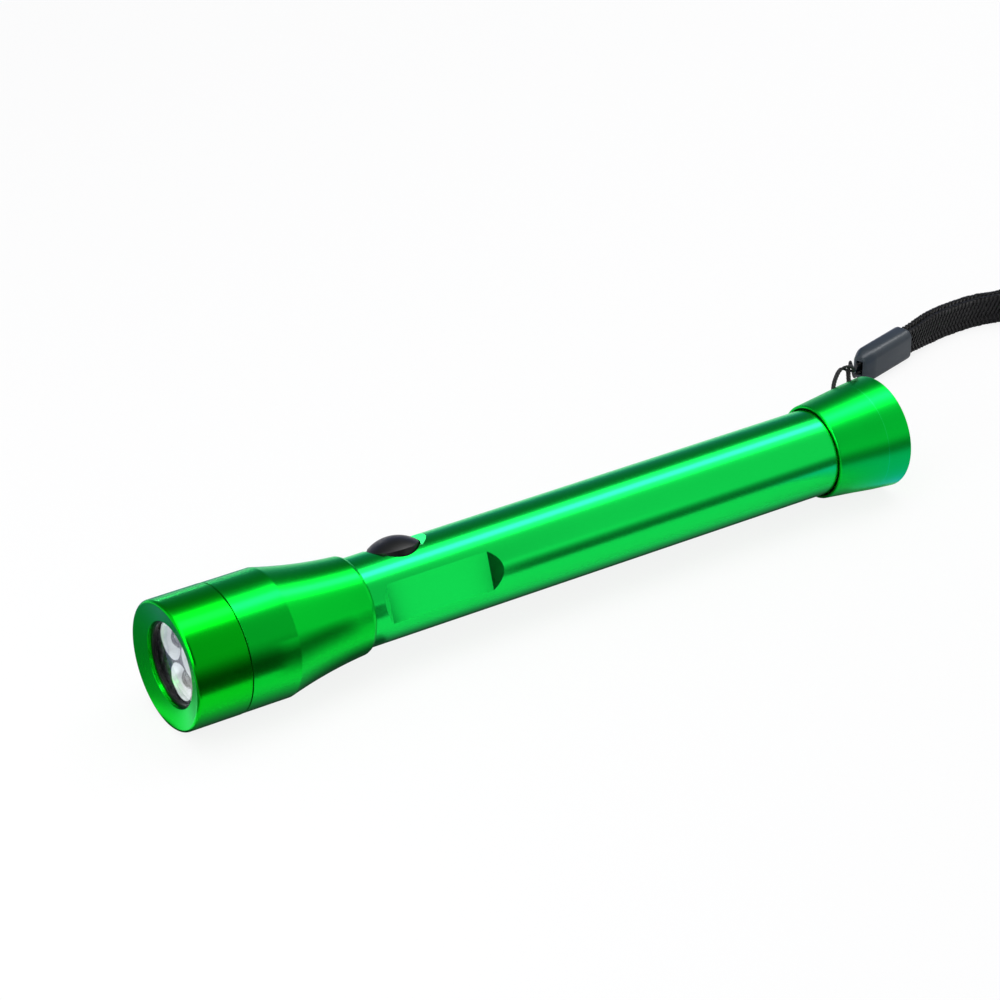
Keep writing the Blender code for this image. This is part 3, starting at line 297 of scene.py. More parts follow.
drum = [(REFLECTOR_FRONT, 0.0, 0), (REFLECTOR_FRONT, FLANGE_R, 0.1), (FLANGE_REAR, FLANGE_R, 0.1),
        (FLANGE_REAR, DRUM_R, 0.1), (REFLECTOR_REAR, DRUM_R, 0.15), (REFLECTOR_REAR, DRUM_BORE_R, 0.15),
        (DRUM_FLOOR, DRUM_BORE_R, 0.2), (DRUM_FLOOR, 0.0, 0)]
reflector = add_piece("reflector_cups", turned_mesh("reflector_cups", eased(drum), 128), mirror, AS_DRAWN)
cup_places = [(CUP_RING_R * math.cos(angle), CUP_RING_R * math.sin(angle)) for angle in CUP_ANGLES]
for wall, front, rear, operation in (
        (CUP_WALL, 5.3, REFLECTOR_REAR, "UNION"), (0.0, 4.0, 12.0, "DIFFERENCE")):
    for number, (across, up) in enumerate(cup_places):
        # Ends a little apart, so that no two cups share a plane
        apart = CUP_ENDS_APART * number
        cup = turned_mesh("cup", cup_outline(wall, front + apart, rear - apart), 96)
        cup.transform(Matrix.Translation((0.0, across, up)))
        shape_with(reflector, cup, operation)
# The flat's faces take the near-black colour that stands for a painted dark reflection
reflector.data.materials.append(flat_dark_painted)
for face in reflector.data.polygons:
    on_flat = face.center.x < REFLECTOR_FRONT + FLAT_FOUND and face.normal.x < -0.99
    face.material_index = 1 if on_flat else 0
settle(reflector)
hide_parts("reflector")
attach(reflector, "torch")

# Diodes
# Three 5 mm lamps of water-clear epoxy, cast round a stamped lead frame whose cup holds
# the chip under yellow phosphor. Their legs are soldered into the board behind.
DIODE_TIP, DIODE_BASE, DIODE_R, DIODE_FLANGE_R, LEG_PITCH = 5.0, 13.6, 2.5, 2.9, 2.54
DOME_STEPS, DIODE_FLANGE, STRIP_HALF, STRIP_REAR, LEG_END = 16, 12.6, 0.25, 12.9, 15.9

# Water-clear epoxy: refracts like glass, with faint moulding waves
epoxy = grained("water_clear_epoxy", (1.43, 1.0), "F7FBFB", 0.02, 0.02,
                {"IOR": 1.53, "Transmission Weight": 1.0})
# Silver-plated steel strip: bright and slightly grained along the stamping
plated = grained("silver_plated_steel", (0.25, 3.0), "D9DAD8", (0.2, 0.36), inputs={"Metallic": 1.0})
# Yellow phosphor in resin: a matt, grainy drop
phosphor = grained("yellow_phosphor_resin", (0.111, 2.0), ("C9A93A", "EBD977"), 0.5)


def start_tree(name, sockets):
    """Begin a Geometry Nodes tree that takes the piece's own mesh and the labelled sockets."""
    tree = bpy.data.node_groups.new(name, "GeometryNodeTree")
    tree.interface.new_socket("Geometry", in_out="INPUT", socket_type="NodeSocketGeometry")
    for label, kind in sockets.items():
        tree.interface.new_socket(label, in_out="INPUT", socket_type="NodeSocket" + kind)
    tree.interface.new_socket("Geometry", in_out="OUTPUT", socket_type="NodeSocketGeometry")
    return tree, add_node(tree, "NodeGroupInput").outputs


def end_tree(tree, geometry, finish):
    """Join what a tree has made into one mesh with one material, which ends the tree."""
    joined = add_node(tree, "GeometryNodeRealizeInstances", {"Geometry": geometry})
    finished = add_node(tree, "GeometryNodeSetMaterial", {"Geometry": joined, "Material": finish})
    add_node(tree, "NodeGroupOutput", {"Geometry": finished})
    return tree


def grown(name, mesh, tree, values):
    """A piece that a tree makes from a mesh, with the values for its labelled sockets."""
    piece = add_object(name, mesh)
    modifier = piece.modifiers.new(tree.name, "NODES")
    modifier.node_group = tree
    for socket in tree.interface.items_tree:
        if socket.name in values:
            modifier[socket.identifier] = values[socket.name]
    make_plain(piece)
    return piece


# Repeat at points: sets one copy of an object at each vertex of the piece
tree, given = start_tree("repeat_at_points", {"Pattern": "Object", "Finish": "Material"})
pattern_part = add_node(tree, "GeometryNodeObjectInfo", {"Object": given["Pattern"]})
copies = add_node(tree, "GeometryNodeInstanceOnPoints", {
    "Points": given["Geometry"], "Instance": pattern_part.outputs["Geometry"]})
repeat_tree = end_tree(tree, copies, given["Finish"])


def repeated(name, pattern_mesh, material):
    """One piece with a copy of a mesh, drawn in mm round the torch's axis, in each of the cups."""
    pattern = add_piece("pattern", pattern_mesh, material, AS_DRAWN)
    points = bpy.data.meshes.new(name)
    points.from_pydata([(0.0, across, up) for across, up in cup_places], [], [])
    piece = grown(name, points, repeat_tree, {"Pattern": pattern, "Finish": material})
    bpy.data.objects.remove(pattern)
    piece.data.transform(torch)
    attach(piece, "torch")
    return piece


lamp = [(DIODE_TIP, 0.0)]
for step in range(1, DOME_STEPS + 1):
    angle = math.pi / 2 * step / DOME_STEPS
    lamp.append((DIODE_TIP + DIODE_R * (1 - math.cos(angle)), DIODE_R * math.sin(angle)))
foot = [(12.0, DIODE_R, 0), (DIODE_FLANGE, DIODE_R, 0.1), (DIODE_FLANGE, DIODE_FLANGE_R, 0.12),
        (DIODE_BASE, DIODE_FLANGE_R, 0.12), (DIODE_BASE, 0.0, 0)]
lamp += [tuple(point) for point in eased(foot)]
lamps = repeated("diode_lamps", turned_mesh("diode_lamps", lamp, 64), epoxy)
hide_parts("led_1", "led_2", "led_3")


def add_loft(shape, sections, end_faces=True):
    """Skin sections of as many points each, one after the other, and close both ends."""
    rings = [[shape.verts.new(point) for point in section] for section in sections]
    for ring, following in zip(rings, rings[1:]):
        for index in range(len(ring)):
            after = (index + 1) % len(ring)
            shape.faces.new((ring[index], ring[after], following[after], following[index]))
    if end_faces:
        shape.faces.new(rings[0])
        shape.faces.new(rings[-1])
    return rings


def lofted(name, lofts, start=None):
    """A mesh of closed lofts, each a list of sections, added to the one to start from."""
    shape = bmesh.new()
    if start:
        shape.from_mesh(start)
    for sections in lofts:
        add_loft(shape, sections)
    return closed_mesh(name, shape)


def bar(low, high, taper=1.0):
    """The two sections of a strip from one corner to the opposite one, narrower at its front end."""
    middle_y, middle_z = (low[1] + high[1]) / 2, (low[2] + high[2]) / 2
    corners = [(low[1], low[2]), (high[1], low[2]), (high[1], high[2]), (low[1], high[2])]
    sections = []
    for along, scale in ((low[0], taper), (high[0], 1.0)):
        sections.append([(along, middle_y + (y - middle_y) * scale, middle_z + (z - middle_z) * scale)
                         for y, z in corners])
    return sections


chip_cup = [(8.55, 0.0), (8.55, 0.4), (8.0, 0.72), (7.95, 0.85), (8.05, 0.9), (9.1, 0.62), (9.1, 0.0)]
strips = [bar((9.0, -1.5, -STRIP_HALF), (STRIP_REAR, 0.45, STRIP_HALF), 0.7),
          bar((8.3, 0.85, -STRIP_HALF), (STRIP_REAR, 1.7, STRIP_HALF), 0.5)]
for leg in (-LEG_PITCH / 2, LEG_PITCH / 2):
    strips.append(bar((STRIP_REAR, leg - STRIP_HALF, -STRIP_HALF), (LEG_END, leg + STRIP_HALF, STRIP_HALF)))
repeated("diode_leads", lofted("diode_leads", strips, turned_mesh("chip_cup", chip_cup, 32)), plated)
drop = [(7.85, 0.0), (7.9, 0.35), (8.0, 0.62), (8.1, 0.64), (8.53, 0.38), (8.53, 0.0)]
repeated("diode_phosphor", turned_mesh("diode_phosphor", drop, 32), phosphor)

# Diode board
# A disc of glass-fibre laminate under green solder resist, drilled for the diodes' legs.
# It rests on a shoulder inside the head shell.
WEAVE = 0.5

# Glass-fibre laminate: green, with the weave just showing under the resist
laminate, tree = start_material("glass_fibre_laminate")
where = add_node(tree, "ShaderNodeTexCoord")
weave = add_node(tree, "ShaderNodeTexChecker", {
    "Vector": where.outputs["Object"], "Scale": 1000 / WEAVE, "Color1": linear("1F6B3A"),
    "Color2": linear("1A5F33")})
shader = add_node(tree, "ShaderNodeBsdfPrincipled", {"Base Color": weave, "Roughness": 0.35})
add_node(tree, "ShaderNodeOutputMaterial", {"Surface": shader})


def dress(names, material):
    """Give CAD nodes whose shape is right a finish of their own."""
    for name in names:
        slots = frame["nodes"][name].data.materials
        slots.clear()
        slots.append(material)


dress(["led_board"], laminate)

# Lens
# A disc of clear acrylic with polished faces and broken edges, clamped between seal and reflector.
LENS_FRONT, LENS_REAR, LENS_R, LENS_EDGE = 3.1, 4.3, 12.0, 0.22

# Polished clear acrylic: all but unseen, with a very slight wave in what it lets through
acrylic = grained("polished_clear_acrylic", (3.33, 1.0), "FBFDFD", 0.0, 0.004,
                  {"IOR": 1.49, "Transmission Weight": 1.0})
disc = [(LENS_FRONT, 0.0, 0), (LENS_FRONT, LENS_R, LENS_EDGE), (LENS_REAR, LENS_R, LENS_EDGE),
        (LENS_REAR, 0.0, 0)]
lens = add_piece("clear_lens", turned_mesh("clear_lens", eased(disc), 128), acrylic)
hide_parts("lens")
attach(lens, "torch")
lens.visible_shadow = False

# Lens seal and rubber rings
# Moulded black rubber: a flat ring that shows inside the bezel's opening, and two round rings
# that sit in grooves under the bezel and under the tail cap's lip.
RING_STEPS, SEAL_FRONT, SEAL_REAR, SEAL_R, SEAL_BORE_R = 20, 2.13, 3.08, 12.0, 8.75

# Moulded black rubber: near black, with a broad soft sheen and a fine grain
rubber = grained("moulded_black_rubber", (2.86, 3.0), ("0B0B0C", "141416"), (0.3, 0.4), 0.02,
                 {"Specular IOR Level": 0.22}, relief_noise=(0.286, 4.0))


def ring_section(station, radius, thick):
    """The round section of a ring, as points to spin."""
    angles = [math.tau * step / RING_STEPS for step in range(RING_STEPS)]
    return [(station + thick * math.cos(angle), radius + thick * math.sin(angle)) for angle in angles]


flat_ring = [(SEAL_FRONT, SEAL_R, 0.1), (SEAL_REAR, SEAL_R, 0.1), (SEAL_REAR, SEAL_BORE_R, 0.12),
             (SEAL_FRONT, SEAL_BORE_R, 0.12)]
ring_outlines = {"lens_seal": ("front_seal", eased(flat_ring)),
                 "bezel_o_ring": ("bezel_ring", ring_section(11.15, 12.2, 0.3)),
                 "tail_o_ring": ("tail_ring", ring_section(165.9, 9.7, 0.35))}
for node, (name, points) in ring_outlines.items():
    ring = add_piece(name, turned_mesh(name, points, 128), rubber)
    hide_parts(node)
    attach(ring, "torch")

# Bezel
# A turned and anodised aluminium ring with a dished front face. It screws on to the head shell
# and its thin lip holds seal, lens and reflector.
BEZEL_R, BEZEL_REAR, BEZEL_BORE_R, BEZEL_LIP_R, LIP_REAR, BEZEL_EDGE = 14.0, 12.45, 12.6, 9.3, 2.1, 0.5


def anodised(name, hex_text, roughness, drawn_out):
    """Dyed anodic film on turned aluminium: a deep colour in a metal sheen that the tool's rings draw out.

    The tool's rings are about 0.05 mm apart on the real piece. They are drawn 0.35 mm apart to show.
    """
    ring_spacing, cloud_width = 0.35, 16.7
    material, tree = start_material(name)
    uv = add_node(tree, "ShaderNodeUVMap", uv_map="turning")
    split = add_node(tree, "ShaderNodeSeparateXYZ", {"Vector": uv})
    rings = add_node(tree, "ShaderNodeTexNoise", {
        "W": split.outputs["Y"], "Scale": 1 / ring_spacing, "Detail": 2.0}, noise_dimensions="1D")
    cut = add_node(tree, "ShaderNodeBump", {"Height": rings, "Distance": 0.0000005})
    round_the_piece = add_node(tree, "ShaderNodeTangent", direction_type="UV_MAP", uv_map="turning")
    where = add_node(tree, "ShaderNodeTexCoord")
    cloud = add_node(tree, "ShaderNodeTexNoise", {
        "Vector": where.outputs["Object"], "Scale": 1000 / cloud_width, "Detail": 2.0})
    uneven = add_node(tree, "ShaderNodeMapRange", {"Value": cloud, "To Min": 0.97, "To Max": 1.03})
    dye = add_node(tree, "ShaderNodeHueSaturation", {"Color": linear(hex_text), "Value": uneven})
    sheen = add_node(tree, "ShaderNodeMapRange", {
        "Value": rings, "To Min": roughness - 0.01, "To Max": roughness + 0.01})
    shader = add_node(tree, "ShaderNodeBsdfPrincipled", {
        "Base Color": dye, "Metallic": 1.0, "Roughness": sheen,
        "Specular Tint": (0.6, 1.0, 0.9, 1.0), "Anisotropic": drawn_out, "Anisotropic Rotation": 0.25,
        "Tangent": round_the_piece, "Normal": cut})
    add_node(tree, "ShaderNodeOutputMaterial", {"Surface": shader})
    return material


def add_turned(name, outline, material, node, place=torch):
    """A finely turned piece of green aluminium that stands for a CAD node."""
    piece = add_piece(name, turned_mesh(name, eased(outline), 256), material, place)
    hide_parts(node)
    return piece


bezel_green = anodised("bezel_green_anodised_aluminium", "03C318", 0.26, 0.7)
bezel_outline = [(0.0, BEZEL_R - BEZEL_EDGE, 0.34), (BEZEL_EDGE, BEZEL_R, 0.34), (BEZEL_REAR, BEZEL_R, 0.12),
                 (BEZEL_REAR, BEZEL_BORE_R, 0.1), (LIP_REAR, BEZEL_BORE_R, 0.1),
                 (LIP_REAR, BEZEL_LIP_R, 0.06), (1.2, BEZEL_LIP_R, 0.1)]
bezel = add_turned("front_bezel", bezel_outline, bezel_green, "bezel")
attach(bezel, "torch")

# Head shell
# Turned aluminium, anodised in one batch with the barrel: a cylinder that runs into a hollow-backed
# cone and drops to the barrel in a small step. A spigot in front takes the bezel's thread.
HEAD_R, SPIGOT_R, GROOVE_R, SPIGOT_BORE_R, HEAD_BORE_R, CONE_STEPS = 13.95, 12.3, 11.8, 11.2, 9.2, 24
SPIGOT_FRONT, GROOVE_FRONT, GROOVE_REAR, HEAD_FRONT = 5.9, 10.45, 11.85, 12.75
HEAD_SEAT, CONE_START, HEAD_REAR = 15.8, 23.9, 44.05
head_green = anodised("head_green_anodised_aluminium", "05C72F", 0.25, 0.6)
cone = bent(Vector((CONE_START, HEAD_R)), Vector((33.45, 11.465)), Vector((43.0, 10.72)), CONE_STEPS)
head_outline = [(SPIGOT_FRONT, SPIGOT_BORE_R, 0.1), (SPIGOT_FRONT, SPIGOT_R, 0.1),
                (GROOVE_FRONT, SPIGOT_R, 0.05), (GROOVE_FRONT, GROOVE_R, 0.05),
                (GROOVE_REAR, GROOVE_R, 0.05), (GROOVE_REAR, SPIGOT_R, 0.05),
                (HEAD_FRONT, SPIGOT_R, 0.05), (HEAD_FRONT, HEAD_R, 0.12), (CONE_START, HEAD_R, 0.12)]
head_outline += [(*place, 0) for place in cone[1:-1]]
head_outline += [(*cone[-1], 0.1), (43.63, 10.43, 0.15), (HEAD_REAR, 9.85, 0.04),
                 (HEAD_REAR, HEAD_BORE_R, 0.05), (HEAD_SEAT, HEAD_BORE_R, 0.05),
                 (HEAD_SEAT, SPIGOT_BORE_R, 0.05)]
head = add_turned("head_shell_turned", head_outline, head_green, "head_shell")
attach(head, "torch")

# Barrel
# Drawn and turned aluminium tube for two cells, with a flat milled on its near side, a second flat
# round the button's hole, a groove for the rear ring and a thread for the tail cap.
TUBE_R, TUBE_BORE_R, NECK_R, RING_GROOVE_R, THREAD_CORE_R = 9.75, 7.6, 8.9, 9.25, 9.15
NECK_FRONT, NECK_REAR, RING_FRONT, RING_REAR = 15.8, 44.13, 165.2, 166.6
THREAD_FRONT, TUBE_REAR = 167.2, 172.4
FLAT_LEVEL, FLAT_DEPTH, RAMP_FRONT, RAMP_REAR, CUTTER_RISE = 8.77, 0.98, 1.5, 2.8, 3.0
SIDE_FLAT_START, SIDE_FLAT_END, MILLING_LINES = 48.3, 72.8, 0.02
BUTTON_STATION, BUTTON_FLAT_HALF, BUTTON_HOLE_R, HOLE_LOW, HOLE_HIGH = 56.0, 4.8, 5.8, 3.1, 12.0
tube_green = anodised("barrel_green_anodised_aluminium", "11D64F", 0.21, 0.5)
tube_outline = [(NECK_FRONT, TUBE_BORE_R, 0.1), (NECK_FRONT, NECK_R, 0.1), (NECK_REAR, NECK_R, 0.05),
                (NECK_REAR, TUBE_R, 0.05), (46.0, TUBE_R, 0), (80.0, TUBE_R, 0), (RING_FRONT, TUBE_R, 0.08),
                (RING_FRONT, RING_GROOVE_R, 0.05), (RING_REAR, RING_GROOVE_R, 0.05),
                (RING_REAR, TUBE_R, 0.08), (THREAD_FRONT, TUBE_R, 0.08),
                (THREAD_FRONT, THREAD_CORE_R, 0.05), (TUBE_REAR, THREAD_CORE_R, 0.2),
                (TUBE_REAR, TUBE_BORE_R, 0.2)]
tube = add_turned("barrel_tube", tube_outline, tube_green, "body_tube", AS_DRAWN)


def flat_cutter(start, end):
    """A block whose underside mills a smooth flat that runs out in a slope at each end, square to +Z."""
    front_run, rear_run = RAMP_FRONT * CUTTER_RISE / FLAT_DEPTH, RAMP_REAR * CUTTER_RISE / FLAT_DEPTH
    top = FLAT_LEVEL + CUTTER_RISE
    outline = [(start, FLAT_LEVEL), (end, FLAT_LEVEL), (end + rear_run, top), (start - front_run, top)]
    sides = [[(along, across, up) for along, up in outline] for across in (-TUBE_R, TUBE_R)]
    mesh = lofted("flat_cutter", [sides])
    milled = mesh.uv_layers.new(name="turning")
    for loop in mesh.loops:
        place = mesh.vertices[loop.vertex_index].co
        milled.data[loop.index].uv = (place.x, place.y * MILLING_LINES)
    return mesh


ABOUT_BUTTON = Matrix.Translation((BUTTON_STATION, 0.0, 0.0)) @ Matrix.Rotation(-math.pi / 2, 4, "Y")
side_cutter = flat_cutter(SIDE_FLAT_START, SIDE_FLAT_END)
side_cutter.transform(Matrix.Rotation(math.pi / 2, 4, "X"))
button_cutter = flat_cutter(BUTTON_STATION - BUTTON_FLAT_HALF, BUTTON_STATION + BUTTON_FLAT_HALF)
hole = [(HOLE_LOW, 0.0), (HOLE_LOW, BUTTON_HOLE_R), (HOLE_HIGH, BUTTON_HOLE_R), (HOLE_HIGH, 0.0)]
hole_cutter = turned_mesh("button_hole", hole, 128)
hole_cutter.transform(ABOUT_BUTTON)
for cutter in (side_cutter, button_cutter, hole_cutter):
    shape_with(tube, cutter, "DIFFERENCE")
settle(tube)
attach(tube, "torch")

# Button
# A dome of moulded black rubber that stands through the barrel's hole. A flange inside the barrel
# keeps it in, and a boss under its crown pushes the switch.
CROWN_TOP, RIM_LEVEL, SKIRT_LEVEL, BUTTON_R, BUTTON_HOLLOW_R, BOSS_R = 11.32, 9.32, 4.4, 5.5, 4.3, 1.8
CROWN_STEPS, FLANGE_OUT_R, FLANGE_IN_R, FLANGE_BED_R, CROWN_INSIDE, BOSS_END = 20, 6.9, 4.9, 7.3, 8.12, 6.0
crown_rise = CROWN_TOP - RIM_LEVEL
crown_r = (BUTTON_R ** 2 + crown_rise ** 2) / (2 * crown_rise)
crown_half = math.asin(BUTTON_R / crown_r)
dome = [(CROWN_TOP, 0.0)]
for step in range(1, CROWN_STEPS):
    angle = crown_half * step / CROWN_STEPS
    dome.append((CROWN_TOP - crown_r * (1 - math.cos(angle)), crown_r * math.sin(angle)))
skirt = [(*dome[-1], 0), (RIM_LEVEL, BUTTON_R, 0.1), (SKIRT_LEVEL, BUTTON_R, 0.1),
         (SKIRT_LEVEL, BUTTON_HOLLOW_R, 0.1), (CROWN_INSIDE, BUTTON_HOLLOW_R, 0.2),
         (CROWN_INSIDE, BOSS_R, 0.2), (BOSS_END, BOSS_R, 0.1), (BOSS_END, 0.0, 0)]
dome = dome[:-1] + [tuple(point) for point in eased(skirt)]
flange_ring = [(SKIRT_LEVEL, FLANGE_OUT_R), (SKIRT_LEVEL, FLANGE_IN_R), (TUBE_R, FLANGE_IN_R),
               (TUBE_R, FLANGE_OUT_R)]
button, flange = [add_piece(name, turned_mesh(name, points, 128), rubber, ABOUT_BUTTON)
                  for name, points in (("button_dome", dome), ("flange", flange_ring))]
bore_form = [(40.0, 0.0), (40.0, FLANGE_BED_R), (72.0, FLANGE_BED_R), (72.0, 0.0)]
shape_with(flange, turned_mesh("bore_form", bore_form, 128), "INTERSECT")
shape_with(button, flange.data, "UNION")
bpy.data.objects.remove(flange)
settle(button)
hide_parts("button")
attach(button, "button")

# Switch and its carrier
# A push switch of black plastic in a moulded plug that fills the barrel, with a white plunger
# and two bent brass strips that lead its current forward and back.

# Moulded black ABS: a soft shine broken by a fine grain
moulded = grained("moulded_black_abs", (0.2, 3.0), "1E1E20", (0.35, 0.5), 0.01)
dress(["switch_body", "switch_carrier"], moulded)
# Moulded white acetal: waxy white with faint flow marks
acetal = grained("moulded_white_acetal", (1.11, 2.0), ("E2E1DB", "EFEEE9"), 0.35)
dress(["switch_plunger"], acetal)
# Rolled brass strip: yellow metal with fine lines along the rolling
brass = grained("rolled_brass_strip", (0.167, 3.0), "D9B45A", (0.22, 0.38),
                inputs={"Metallic": 1.0}, stretch=30.0)
dress(["front_contact", "rear_contact"], brass)

# Cells
# Two AA cells in line: steel cans in a plain film, with their raised contacts forward.

# Shrink film on steel: grey with a glossy coat and a slight unevenness
film = grained("shrink_film_on_steel", (2.5, 3.0), ("5E646C", "70767E"), 0.3,
               inputs={"Metallic": 0.6, "Coat Weight": 0.5})
dress(["cell_front", "cell_rear"], film)

# Springs and the barrel's thread
# Nickel-plated steel wire, coiled with closed ends: one in front of the switch, one tapering in the
# tail cap. The thread is rolled on the barrel's end and drives the tail cap 1 mm a turn.

# Drawn along a path: sweeps a round section, or one of twisted strands, along the piece's line
tree, given = start_tree("drawn_along_path", {
    "Radius": "Float", "Step": "Float", "Sides": "Int", "Lobe angle": "Float", "Lobe depth": "Float",
    "Twist": "Float", "Finish": "Material"})
path = add_node(tree, "GeometryNodeMeshToCurve", {"Mesh": given["Geometry"]})
even = add_node(tree, "GeometryNodeResampleCurve", {
    "Curve": path, "Length": given["Step"]}, mode="LENGTH")
along = add_node(tree, "GeometryNodeSplineParameter")
tilt = add_node(tree, "ShaderNodeMath", {
    0: along.outputs["Length"], 1: given["Twist"]}, operation="MULTIPLY")
laid = add_node(tree, "GeometryNodeSetCurveTilt", {"Curve": even, "Tilt": tilt})
circle = add_node(tree, "GeometryNodeCurvePrimitiveCircle", {
    "Resolution": given["Sides"], "Radius": given["Radius"]})
number = add_node(tree, "GeometryNodeInputIndex")
lobe = add_node(tree, "ShaderNodeMath", {0: number, 1: given["Lobe angle"]}, operation="MULTIPLY")
swing = add_node(tree, "ShaderNodeMath", {0: lobe}, operation="COSINE")
swell = add_node(tree, "ShaderNodeMath", {
    0: swing, 1: given["Lobe depth"], 2: 1.0}, operation="MULTIPLY_ADD")
spot = add_node(tree, "GeometryNodeInputPosition")
stretched = add_node(tree, "ShaderNodeVectorMath", {0: spot, "Scale": swell}, operation="SCALE")
section = add_node(tree, "GeometryNodeSetPosition", {"Geometry": circle, "Position": stretched})
swept = add_node(tree, "GeometryNodeCurveToMesh", {
    "Curve": laid, "Profile Curve": section, "Fill Caps": True})
draw_tree = end_tree(tree, swept, given["Finish"])


def line_mesh(name, route):
    """A mesh of one line through the points of a route."""
    mesh = bpy.data.meshes.new(name)
    mesh.from_pydata(route, [(index, index + 1) for index in range(len(route) - 1)], [])
    return mesh


def drawn(name, route, material, radius, step, sides, strands=1, strand_depth=0.0, twist_length=1.0):
    """A wire, thread or cord along a route, with its sizes in metres."""
    piece = grown(name, line_mesh(name, route), draw_tree, {
        "Radius": radius, "Step": step, "Sides": sides, "Lobe angle": math.tau * strands / sides,
        "Lobe depth": strand_depth, "Twist": math.tau / twist_length, "Finish": material})
    soften(piece.data, 60.0)
    return piece


def coil(front, rear, front_r, rear_r, curls, closing, per_curl=32):
    """A coil's centre line. Its first and last curls, where it is closed up, rise by the closing."""
    open_step = (rear - front - 2 * closing) / (curls - 2)
    route = []
    for step in range(curls * per_curl + 1):
        turns = step / per_curl
        closed = min(turns, 1.0) + max(turns - curls + 1, 0.0)
        radius = front_r + (rear_r - front_r) * turns / curls
        station = front + closing * closed + open_step * (turns - closed)
        angle = math.tau * turns
        route.append(torch @ Vector((station, radius * math.cos(angle), radius * math.sin(angle))))
    return route


# Nickel-plated spring steel: a warm grey metal with a drawn wire's slight unevenness
nickel = grained("nickel_plated_spring_steel", (0.333, 2.0), "C9C7C1", (0.18, 0.32),
                 inputs={"Metallic": 1.0})
for node, body, route, wire_r in (
        ("front_spring", "torch", coil(16.15, 28.95, 3.0, 3.0, 5, 1.15), 0.00035),
        ("tail_spring", "tail_spring", coil(169.2, 178.0, 3.4, 6.0, 5, 1.35), 0.00045)):
    spring = drawn(node + "_coil", route, nickel, wire_r, 0.0005, 14)
    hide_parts(node)
    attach(spring, body)

THREAD_START, THREAD_TURNS, THREAD_PITCH, THREAD_LINE_R, THREAD_RIDGE_R = 167.9, 4, 1.0, 8.93, 0.00042
thread_route = coil(THREAD_START, THREAD_START + THREAD_TURNS * THREAD_PITCH, THREAD_LINE_R, THREAD_LINE_R,
                    THREAD_TURNS, THREAD_PITCH, 96)
bare_green = anodised("thread_green_anodised_aluminium", "08A843", 0.3, 0.0)
thread = drawn("barrel_thread", thread_route, bare_green, THREAD_RIDGE_R, 0.0006, 16)
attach(thread, "torch")

# Tail cap
# Turned and anodised aluminium: a thin lip that stands off the barrel, a flared skirt with a crease,
# and a closed end. A curved tunnel is milled in its wall for the lanyard.
TUNNEL_TURN, TUNNEL_R, TUNNEL_RING_R, TUNNEL_STATION, TUNNEL_OUT = math.radians(18.0), 1.1, 2.4, 177.0, 11.75
along_way = Vector((1.0, 0.0, 0.0))
out_way = Vector((0.0, math.sin(TUNNEL_TURN), math.cos(TUNNEL_TURN)))
across_way = Vector((0.0, math.cos(TUNNEL_TURN), -math.sin(TUNNEL_TURN)))
tunnel_place = along_way * TUNNEL_STATION + out_way * TUNNEL_OUT
CAP_END, CAP_FLOOR, CAP_LIP, CAP_WELL_R = 182.0, 178.75, 163.65, 6.8
CAP_BORE_R, LIP_BORE_R, CAP_SHOULDER, LIP_STEP = 9.45, 10.15, 172.7, 167.5
CREASE_START, CREASE_END = 176.06, 176.14
cap_outline = [(CAP_FLOOR, 0.0, 0), (CAP_FLOOR, CAP_WELL_R, 0.2), (CAP_SHOULDER, CAP_WELL_R, 0.1),
               (CAP_SHOULDER, CAP_BORE_R, 0.1), (LIP_STEP, CAP_BORE_R, 0.1), (LIP_STEP, LIP_BORE_R, 0.1),
               (CAP_LIP, LIP_BORE_R, 0.06), (CAP_LIP, 10.5, 0.08), (163.9, 10.75, 0.1), (171.0, 11.55, 0.8),
               (CREASE_START, 12.19, 0), (CREASE_END, 12.2, 0), (181.75, 12.7, 0.15),
               (CAP_END, 12.45, 0.1), (CAP_END, 0.0, 0)]
cap_green = anodised("cap_green_anodised_aluminium", "04C034", 0.34, 0.5)
# A lighter green on the narrow band at the crease: a painted highlight line
crease_highlight_green = anodised("crease_painted_highlight", "1CD25E", 0.34, 0.0)
cap = add_turned("tail_cap_turned", cap_outline, cap_green, "tail_cap", AS_DRAWN)
tunnel_mesh = turned_mesh("tunnel", ring_section(0.0, TUNNEL_RING_R, TUNNEL_R), 48)
tunnel_axes = Matrix((across_way, along_way, across_way.cross(along_way))).transposed().to_4x4()
tunnel_mesh.transform(Matrix.Translation(tunnel_place) @ tunnel_axes)
shape_with(cap, tunnel_mesh, "DIFFERENCE")
# The crease's outer faces take the painted highlight green
cap.data.materials.append(crease_highlight_green)
for face in cap.data.polygons:
    if CREASE_START < face.center.x < CREASE_END and face.center.yz.length > 11.0:
        face.material_index = 1
settle(cap)
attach(cap, "tail_cap")

# Strap sleeve
# A satin, dark grey plastic grip with a tapered nose, moulded over the ends of cord and strap.
# The cord enters a slot in its nose and the strap leaves its rear end.
SLEEVE_LENGTH, SLEEVE_NOSE, SLEEVE_HEIGHT, SLEEVE_THICKNESS = 17.6, 2.5, 8.0, 5.6
SLEEVE_CHAMFER, SLEEVE_NOSE_SHRINK, SLEEVE_ROUNDING = 1.2, 0.95, 0.7
SLEEVE_HEADING, SLEEVE_MIDDLE = math.radians(15.5), 4.1
sleeve_front = torch @ tunnel_place + Vector((0.03066, 0.03074, 0.0))
sleeve_front.z = SLEEVE_MIDDLE / 1000
sleeve_axes = Matrix.Translation(sleeve_front) @ Matrix.Rotation(SLEEVE_HEADING, 4, "Z") @ MILLIMETRES

